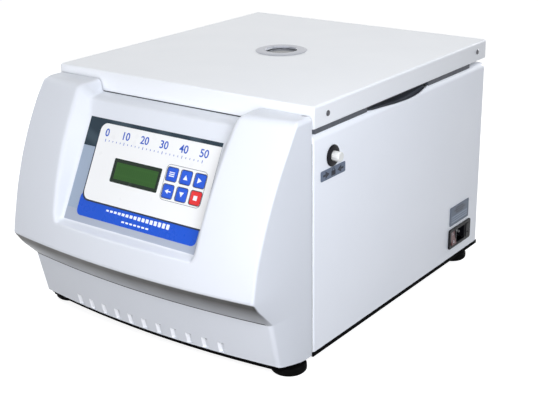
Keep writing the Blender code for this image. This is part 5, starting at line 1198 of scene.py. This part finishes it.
def build_rocker(face, y, z, width):
    """A dished rocker over a round back, tipped to one side, with I and O on its face."""
    half = CELL_HALF - 3 * GAP
    points = [(0.0, -half), (0.0033, -half), (0.0026, -half * 0.5), (0.0021, 0.0), (0.0026, half * 0.5),
              (0.0033, half), (0.0, half)]
    points += arc((0.0, 0.0), half, 90, 270, 16)[1:-1]
    mesh = plate("rocker", [points], -width / 2, width / 2, 0.0003)
    turn = Matrix(((1, 0, 0, 0), (0, 0, -1, 0), (0, 1, 0, 0), (0, 0, 0, 1)))
    place = Matrix.Translation((face - 0.0028, y, z)) @ Matrix.Rotation(-ROCKER_TILT, 4, "Y")
    stand_in("power_rocker", mesh, "rocker", place @ turn)
    bar = [around(0.0, 0.0, 0.00035, 0.0016, 0.0001)]
    circle = [arc((0.0, 0.0), radius, 0, 345, 24) for radius in (0.0017, 0.0011)]
    for name, outlines, height in (("on", bar, half * ROCKER_MARK_SHARE), ("off", circle, -half * ROCKER_MARK_SHARE)):
        mark = plate(name, outlines, ROCKER_MARK_LIFT, ROCKER_MARK_LIFT + 0.0001)
        seat = Matrix.Translation((0.0, 0.0, height)) @ SIDEWAYS
        add_piece("rocker_mark_" + name, mark, "white_mark", "power_rocker", place=place @ seat)


# Control panel
PANEL = (Matrix.Translation((0.0, -PANEL_LOW_REACH + PANEL_HEIGHT / 2 * math.sin(PANEL_TILT) - GAP,
                             PANEL_LOW_Z + PANEL_HEIGHT / 2 * math.cos(PANEL_TILT)))
         @ Matrix.Rotation(math.radians(90) - PANEL_TILT, 4, "X"))
LAYER = 0.00012
SHEET_TOP = 0.0002
SHADOW_RIM_LOW = SHEET_TOP + 4 * LAYER
KEY_SHADOW_RIM = KEY_SIZE / 2 + 0.0010
KEY_CORNER = 0.0022
DISPLAY_CORNER = 0.0018
SLATE_LOW_V = 0.029
GREY_HIGH_V = -0.050
WHITE_CORNER = 0.010
SCALE_START_U = -0.071
SCALE_PITCH = 0.0306
SCALE_TICKS = 5
FIGURE_SIZE = 0.0135
BAR_PITCH = 0.0064
BAR_HALF = 0.0022


def key_places():
    return [(row * 3 + column + 2, KEY_CENTRE[0] + column * KEY_PITCH[0], KEY_CENTRE[1] + v_side * KEY_PITCH[1])
            for row, v_side in enumerate((0.5, -0.5)) for column in (-1, 0, 1)]


def left_rounded(low, high, radius):
    """A rectangle with only its left corners rounded."""
    full = rounded_outline(low, high, radius)
    count = len(full) // 4
    return [tuple(high), *full[count:3 * count], (high[0], low[1])]


def rectangle(low, high):
    return [low, (high[0], low[1]), high, (low[0], high[1])]


def on_overlay(name, mesh, look, replaced=()):
    add_piece("overlay_" + name, mesh, look, "control_overlay", replaced, PANEL)


def build_overlay():
    """The overlay's sheet and its printed layers, each with its look and its level above the sheet."""
    half_u, half_v = PANEL_WIDTH / 2, PANEL_HEIGHT / 2
    display_u, display_v = (size / 2 + GAP for size in DISPLAY_SIZE)
    key = KEY_SIZE / 2 + GAP
    holes = [around(*DISPLAY_PLACE, display_u, display_v, DISPLAY_CORNER)]
    holes += [around(u, v, key, key, KEY_CORNER) for _, u, v in key_places()]
    sheet = plate("overlay_sheet", [around(0.0, 0.0, half_u, half_v, 0.0015), *holes], 0.00002, SHEET_TOP)
    on_overlay("sheet", sheet, "panel_slate_blue", ("control_overlay",))
    layers = (
        ("slate", "panel_slate", [rectangle((-half_u, SLATE_LOW_V), (half_u, half_v))], 1),
        ("grey", "panel_grey", [rectangle((-half_u, -half_v), (half_u, GREY_HIGH_V))], 1),
        ("blue", "panel_blue", [rounded_outline((-0.087, -0.057), (0.103, -0.028), 0.007)], 2),
        ("shadow", "panel_line", [left_rounded((-0.0848, -0.0378), (half_u, 0.058), WHITE_CORNER), *holes], 3),
        ("white", "panel_white", [left_rounded((-0.0832, -0.0358), (half_u, 0.0605), WHITE_CORNER), *holes], 4),
        ("keypad_line", "panel_thin", frame_outline(0.0647, 0.0075, 0.0308, 0.0215, 0.006, 0.0005), 5),
    )
    for name, look, outlines, level in layers:
        low = SHEET_TOP + LAYER * (level - 1)
        on_overlay(name, plate("overlay_" + name, outlines, low, low + LAYER), look)
    # A dark ring round each key stands in for the shade round the keys: painted shadow.
    shadow_rims = [plate("rim", frame_outline(u, v, KEY_SHADOW_RIM, KEY_SHADOW_RIM, 0.0028, 0.0007), SHADOW_RIM_LOW, SHADOW_RIM_LOW + LAYER)
            for _, u, v in key_places()]
    on_overlay("key_shadow_rims", merged("shadow_rims", shadow_rims), "panel_line")
    build_panel_marks()


def build_panel_marks():
    """A plain scale where a name would be, and plain bars in the blue band."""
    top = SHEET_TOP + 5 * LAYER
    low = top - LAYER
    figures = [figure(str(10 * i), FIGURE_SIZE, (SCALE_START_U + SCALE_PITCH * i, 0.0487), low, top, 0.0002)
               for i in range(6)]
    on_overlay("figures", merged("figures", figures), "panel_mark")
    ticks = []
    for i in range(5 * SCALE_TICKS + 1):
        u = SCALE_START_U + SCALE_PITCH / SCALE_TICKS * i
        tall = 0.0010 if i % SCALE_TICKS else 0.0018
        ticks.append(plate("tick", [around(u, 0.0395, 0.0004, tall, 0.0002)], low, top))
    on_overlay("ticks", merged("ticks", ticks), "panel_mark")
    high = SHEET_TOP + 3 * LAYER
    bars = []
    for start, v, tall, growth, count in ((-0.038, -0.0430, 0.0011, 0.00013, 16), (-0.010, -0.0515, 0.0010, 0.0, 7)):
        bars += [plate("bar", [around(start + BAR_PITCH * i, v, BAR_HALF, tall + growth * i, 0.0006)],
                       high - LAYER, high) for i in range(count)]
    on_overlay("bars", merged("bars", bars), "white_mark")


DISPLAY_FRAME = 0.0042
DISPLAY_FACE = -0.0018
DISPLAY_BACK = -0.0093
DISPLAY_BODY = 0.007


def build_display():
    u, v = DISPLAY_PLACE
    half_u, half_v = DISPLAY_SIZE[0] / 2, DISPLAY_SIZE[1] / 2
    field = around(u, v, half_u - DISPLAY_FRAME, half_v - DISPLAY_FRAME, 0.0008)
    bezel = plate("display_frame", [around(u, v, half_u, half_v, DISPLAY_CORNER), field], DISPLAY_FACE, 0.0004, 0.0002)
    body = block("body", (u - half_u - DISPLAY_BODY, v - half_v - DISPLAY_BODY, DISPLAY_BACK),
                 (u + half_u + DISPLAY_BODY, v + half_v + DISPLAY_BODY, DISPLAY_FACE), 0.0005)
    stand_in("display_module", merged("display", [bezel, body]), "lcd_frame", PANEL)
    add_piece("display_glass", plate("glass", [field], DISPLAY_FACE, 0.0001), "lcd", "display_module", place=PANEL)


def key_mesh():
    """A membrane key: a crowned cap with rounded corners over a thin flange."""
    half = KEY_SIZE / 2
    section = ((0.0, -0.0045), (0.0, KEY_TOP * 0.42), (0.0003, KEY_TOP * 0.62), (0.0009, KEY_TOP * 0.82),
               (0.0022, KEY_TOP * 0.94), (0.0048, KEY_TOP))
    rows = [lifted(around(0.0, 0.0, half - inset, half - inset, KEY_CORNER - min(inset * 0.3, 0.001)), z)
            for inset, z in section]
    cap = skin("key", rows, closed=True, caps=True)
    flange = block("flange", (-half - 0.001, -half - 0.001, -0.0028), (half + 0.001, half + 0.001, -0.0018), 0.0002)
    return merged("key", [cap, flange])


def key_marks():
    """Generic signs: menu lines, up, start, back, down and stop."""
    return {1: [[around(0.0, v, 0.0040, 0.0006, 0.0002)] for v in (-0.0022, 0.0, 0.0022)],
            2: [[triangle(0.0, 0.0, 0.0058, 2)]], 3: [[triangle(0.0, 0.0, 0.0058, 1)]],
            4: [[triangle(-0.0016, 0.0, 0.0048, -1)], [around(0.0028, 0.0, 0.0022, 0.0007, 0.0002)]],
            5: [[triangle(0.0, 0.0, 0.0058, -2)]], 6: [[around(0.0, 0.0, 0.0027, 0.0027, 0.0004)]]}


def build_keys():
    marks = key_marks()
    for number, u, v in key_places():
        node = "key_" + str(number)
        place = PANEL @ Matrix.Translation((u, v, 0.0))
        stand_in(node, key_mesh(), "red_key" if number == 6 else "blue_key", place)
        signs = [plate("sign", outlines, KEY_TOP, KEY_TOP + MARK_RISE) for outlines in marks[number]]
        add_piece(node + "_sign", merged("sign", signs), "white_mark", node, place=place)


# Chamber and rotor
BOWL_OUTER = 0.161
BOWL_CORNER = 0.004
BOWL_HOLE = 0.014
BOWL_WALL = 0.001
FINE_STEPS = 160


def build_bowl():
    low, high = cad_box("chamber_bowl")
    flange = (high.x - low.x) / 2
    top, under = high.z, low.z
    floor = under + BOWL_WALL
    inner = BOWL_CORNER - BOWL_WALL
    bore = BOWL_OUTER - BOWL_WALL
    profile = [(flange, top), (flange, top - BOWL_WALL), (BOWL_OUTER, top - BOWL_WALL)]
    profile += arc((BOWL_OUTER - BOWL_CORNER, under + BOWL_CORNER), BOWL_CORNER, 0, -90, 8)
    profile += [(BOWL_HOLE, under), (BOWL_HOLE, floor)]
    profile += arc((bore - inner, floor + inner), inner, -90, 0, 8)
    profile += [(bore, top - 0.0025), (bore + 0.0016, top - 0.0006), (bore + 0.0034, top)]
    stand_in("chamber_bowl", turned("bowl", profile, FINE_STEPS, 0.0002), "bowl", AXIS_PLACE)


BUCKET_RADIUS = 0.020
BUCKET_WALL = 0.003
BUCKET_COLLAR = 0.0222
BUCKET_EDGE = 0.004
PIVOT_DROP = 0.007


def build_buckets():
    for number in range(1, 5):
        node = "bucket_" + str(number)
        low, high = cad_box(node)
        centre = (low + high) / 2
        pivot = high.z - PIVOT_DROP
        inner = BUCKET_RADIUS - BUCKET_WALL
        edge, floor = BUCKET_EDGE, low.z + 0.004
        profile = [(BUCKET_COLLAR, high.z), (BUCKET_COLLAR, pivot - PIVOT_DROP), (BUCKET_RADIUS, pivot - 0.0078),
                   (BUCKET_RADIUS, low.z + edge)]
        profile += arc((BUCKET_RADIUS - edge, low.z + edge), edge, 0, -90, 6)[1:]
        profile += [(0.0, low.z), (0.0, floor)]
        profile += arc((inner - edge, floor + edge), edge, -90, 0, 6)
        profile += [(inner, high.z)]
        cup = turned("bucket", profile, 72, 0.0004)
        bosses = [block("boss", (-0.0065, min(side * 0.0185, side * 0.0254), pivot - PIVOT_DROP),
                        (0.0065, max(side * 0.0185, side * 0.0254), pivot + PIVOT_DROP), 0.0006) for side in (-1, 1)]
        eyes = [rod("eye", (0.0, side * 0.0212, pivot), (0.0, side * 0.028, pivot), 0.0043) for side in (-1, 1)]
        mesh = cut(merged("bucket", [cup, *bosses]), *eyes)
        turn = Matrix.Rotation(math.radians(90 * (number - 1)), 4, "Z")
        stand_in(node, mesh, "alloy", Matrix.Translation((centre.x, centre.y, 0.0)) @ turn)


HEAD_PIVOT_Z = 0.226
HEAD_RADIUS = 0.082
HEAD_HALF = 0.008
HEAD_EDGE = 0.0008
HUB_RADIUS = 0.0200
SHAFT_RADIUS = 0.0063
DIMPLE_PLACE = (0.048, 0.048)


def build_rotor_head():
    """The rotor head: a disc with four open notches, a hub, trunnions and lightening dimples."""
    low, high = cad_box("rotor_head")
    pivot, radius, half, edge = HEAD_PIVOT_Z, HEAD_RADIUS, HEAD_HALF, HEAD_EDGE
    profile = [(HUB_RADIUS, high.z), (HUB_RADIUS, pivot + half), (radius - edge, pivot + half),
               (radius, pivot + half - edge), (radius, pivot - half + edge), (radius - edge, pivot - half),
               (HUB_RADIUS, pivot - half), (HUB_RADIUS, low.z), (SHAFT_RADIUS, low.z), (SHAFT_RADIUS, high.z)]
    cutters, pins = [], []
    for i in range(4):
        notch = block("notch", (0.034, -0.026, pivot - 0.02), (radius + 0.01, 0.026, pivot + 0.02), 0.003, 4)
        dimple = rod("dimple", (*DIMPLE_PLACE, pivot + half - 0.0025), (*DIMPLE_PLACE, pivot + half + 0.004), 0.006)
        pair = [rod("pin", (0.062, side * 0.0305, pivot), (0.062, side * 0.0215, pivot), 0.004) for side in (-1, 1)]
        for made in (notch, dimple, *pair):
            made.transform(Matrix.Rotation(math.radians(90 * i), 4, "Z"))
        cutters += [notch, dimple]
        pins += pair
    head = cut(turned("rotor_head", profile, FINE_STEPS, 0.0003), *cutters)
    stand_in("rotor_head", merged("rotor_head", [head, *pins]), "alloy", AXIS_PLACE)


NUT_RADIUS = 0.015
NUT_STEPS = 120
NUT_GROOVE = 0.03


def build_rotor_nut():
    """A round nut with a knurl, a dished top and a bore for the shaft."""
    low, high = cad_box("rotor_nut")
    top, radius = high.z, NUT_RADIUS
    profile = [(0.0, top - 0.0012, 0.0), (0.0052, top - 0.0012, 0.0), (0.006, top, 0.0), (radius - 0.0022, top, 0.0),
               (radius - 0.0006, top - 0.001, 0.4), (radius, top - 0.0024, 1.0), (radius, low.z + 0.0012, 1.0),
               (radius - 0.0008, low.z, 0.0), (SHAFT_RADIUS, low.z, 0.0), (SHAFT_RADIUS, top - 0.0032, 0.0),
               (0.0, top - 0.0032, 0.0)]
    mesh = fluted("nut", profile, NUT_STEPS, NUT_GROOVE, lambda i: i % 4 > 1)
    stand_in("rotor_nut", mesh, "alloy", AXIS_PLACE)


# Nodes whose shape is right: they stay, with softened edges and a fitting material
KEPT = {
    "rear_panel": "case", "base_pan": "black_steel", "motor_frame": "black_steel", "top_deck": "deck",
    "finger_scoop_left": "deck", "finger_scoop_right": "deck", "motor_damper": "rubber", "shaft_boot": "rubber",
    "control_board": "board", "drive_board": "board", "power_supply": "zinc", "motor_plate": "zinc",
    "motor_body": "alloy", "hinge_leaf": "steel", "lid_hinge_leaf": "steel", "hinge_pin": "steel",
    "front_bulkhead": "zinc", "lid_striker": "zinc", "lock_nut": "zinc", "drive_shaft": "steel",
    "cooling_fan": "black",
}
SOFT_EDGE = 0.0004


def keep_nodes():
    for node, look in KEPT.items():
        made = frame["nodes"][node]
        made.data.materials.clear()
        made.data.materials.append(LOOKS[look])
        weld = made.modifiers.new("weld", "WELD")
        weld.merge_threshold = 10 * MERGE
        edge = made.modifiers.new("soft_edge", "BEVEL")
        edge.width = SOFT_EDGE if node != "rear_panel" else SOFT_EDGE / 2
        edge.segments = 2
        edge.limit_method = "ANGLE"
        edge.angle_limit = math.radians(40)
        edge.harden_normals = True


REAR_SCREW_INSET = 0.006


def build_rear_screws():
    """The rear panel's screws, which the solids leave out."""
    low, high = cad_box("rear_panel")
    back = Matrix.Rotation(math.radians(-90), 4, "X")
    places = [(x, high.y, z) for x in (low.x + REAR_SCREW_INSET, 0.0, high.x - REAR_SCREW_INSET)
              for z in (low.z + REAR_SCREW_INSET, high.z - REAR_SCREW_INSET)]
    for i, spot in enumerate(places):
        mesh = screw_mesh(0.0030, 0.0011, 0.0012, 0.0008)
        add_piece("rear_screw_" + str(i + 1), mesh, "zinc", "rear_panel", place=Matrix.Translation(spot) @ back)


# Stage, light and camera
def shader(tree, kind, **inputs):
    """A shader node's output; inputs are its plain values."""
    node = tree.nodes.new("ShaderNode" + kind)
    for name, value in inputs.items():
        node.inputs[name].default_value = value
    return node.outputs[0]


def light_path_white(tree, shader_in, plain, white):
    """Mixes a shader that only camera, glossy and transmission rays see with a plain one."""
    path = tree.nodes.new("ShaderNodeLightPath")
    seen = path.outputs["Is Camera Ray"]
    for ray in ("Is Glossy Ray", "Is Transmission Ray"):
        most = tree.nodes.new("ShaderNodeMath")
        most.operation = "MAXIMUM"
        tree.links.new(seen, most.inputs[0])
        tree.links.new(path.outputs[ray], most.inputs[1])
        seen = most.outputs[0]
    mix = tree.nodes.new("ShaderNodeMixShader")
    for source, target in zip((seen, plain, white), mix.inputs):
        tree.links.new(source, target)
    tree.links.new(mix.outputs[0], shader_in)


WORLD_LIGHT = 0.32
WORLD_COLOUR = (0.93, 0.965, 1.0, 1.0)
FLOOR_DARK = (0.110, 0.105, 0.105, 1.0)
FLOOR_GLOW = 0.86
FLOOR_WHITE = (0.45, 0.45, 0.45, 1.0)
FLOOR_HALF = 6.0


def build_world():
    world = bpy.data.worlds.new("studio")
    bpy.context.scene.world = world
    world.use_nodes = True
    tree = world.node_tree
    tree.nodes.clear()
    out = tree.nodes.new("ShaderNodeOutputWorld")
    white = shader(tree, "Background", Color=(1.0, 1.0, 1.0, 1.0), Strength=1.0)
    plain = shader(tree, "Background", Color=WORLD_COLOUR, Strength=WORLD_LIGHT)
    light_path_white(tree, out.inputs["Surface"], plain, white)


def build_floor():
    shape = bmesh.new()
    bmesh.ops.create_grid(shape, x_segments=1, y_segments=1, size=FLOOR_HALF)
    mesh = as_mesh("floor", shape)
    floor = linked("floor", mesh)
    material = bpy.data.materials.new("floor_white")
    material.use_nodes = True
    tree = material.node_tree
    tree.nodes.clear()
    out = tree.nodes.new("ShaderNodeOutputMaterial")
    plain = shader(tree, "BsdfDiffuse", Color=FLOOR_DARK)
    both = tree.nodes.new("ShaderNodeAddShader")
    tree.links.new(shader(tree, "BsdfDiffuse", Color=FLOOR_WHITE), both.inputs[0])
    tree.links.new(shader(tree, "Emission", Strength=FLOOR_GLOW), both.inputs[1])
    light_path_white(tree, out.inputs["Surface"], plain, both.outputs[0])
    mesh.materials.append(material)


LAMPS = (
    # name, place, aim, size, spread in degrees, power in watts, colour
    ("top", (0.0, 0.2, 1.8), (0.0, 0.2, 0.3), 0.8, 180.0, 6.8, (1.0, 0.99, 0.98)),
    ("front", (0.12, -1.6, 0.30), (0.0, 0.0, 0.15), 0.6, 180.0, 10.4, (0.975, 0.98, 1.01)),
    ("corner", (0.80, -0.70, 0.62), (0.0, 0.0, 0.15), 0.45, 180.0, 5.5, (0.92, 0.95, 1.02)),
    ("side", (0.90, -0.45, 0.62), (0.2, 0.03, 0.18), 0.45, 120.0, 1.2, (0.92, 0.95, 1.02)),
    ("left", (-1.5, 0.4, 0.45), (0.0, 0.25, 0.12), 0.7, 90.0, 3.6, (0.97, 0.98, 1.0)),
    ("back", (0.25, 1.9, 0.45), (0.0, 0.25, 0.12), 0.7, 90.0, 4.5, (0.97, 0.98, 1.0)),
)


def build_lamps():
    for name, place, aim, size, spread, power, colour in LAMPS:
        light = bpy.data.lights.new(name, "AREA")
        light.shape = "DISK"
        light.size = size
        light.spread = math.radians(spread)
        light.energy = power
        light.color = colour
        made = linked(name, light)
        made.location = place
        made.rotation_mode = "QUATERNION"
        made.rotation_quaternion = (Vector(aim) - Vector(place)).to_track_quat("-Z", "Y")


CAMERA_AZIMUTH = math.radians(36.626)
CAMERA_ELEVATION = math.radians(19.641)
CAMERA_ROLL = math.radians(-0.883)
CAMERA_PLACE = (0.8500, -0.9625, 0.6197)
CAMERA_FOCAL_PIXELS = 1091.488
IMAGE_WIDTH, IMAGE_HEIGHT = 539, 400
CAMERA_CENTRE_PIXELS = (266.71, 190.89)
SENSOR_MM = 36.0


def build_camera():
    back = Vector((math.sin(CAMERA_AZIMUTH) * math.cos(CAMERA_ELEVATION),
                   -math.cos(CAMERA_AZIMUTH) * math.cos(CAMERA_ELEVATION), math.sin(CAMERA_ELEVATION)))
    right = (-back).cross(Vector((0.0, 0.0, 1.0))).normalized()
    up = right.cross(-back)
    rolled_right = right * math.cos(CAMERA_ROLL) + up * math.sin(CAMERA_ROLL)
    rolled_up = -right * math.sin(CAMERA_ROLL) + up * math.cos(CAMERA_ROLL)
    lens = bpy.data.cameras.new("camera")
    lens.sensor_width = SENSOR_MM
    lens.lens = CAMERA_FOCAL_PIXELS * SENSOR_MM / IMAGE_WIDTH
    lens.shift_x = (IMAGE_WIDTH / 2 - CAMERA_CENTRE_PIXELS[0]) / IMAGE_WIDTH
    lens.shift_y = (CAMERA_CENTRE_PIXELS[1] - IMAGE_HEIGHT / 2) / IMAGE_WIDTH
    camera = linked("camera", lens)
    place = Matrix((rolled_right, rolled_up, back)).transposed().to_4x4()
    place.translation = Vector(CAMERA_PLACE) + ORIGIN
    camera.matrix_world = place
    bpy.context.scene.camera = camera


bpy.context.scene.view_settings.view_transform = "Standard"
for build in (build_camera, build_world, build_floor, build_lamps, build_fascia, build_strips, build_case, build_feet,
              build_lid, build_sight, build_seal, build_lid_screws, build_lock, build_side_plates, build_inlet,
              build_overlay, build_display, build_keys, build_bowl, build_buckets, build_rotor_head, build_rotor_nut,
              keep_nodes, build_rear_screws):
    build()
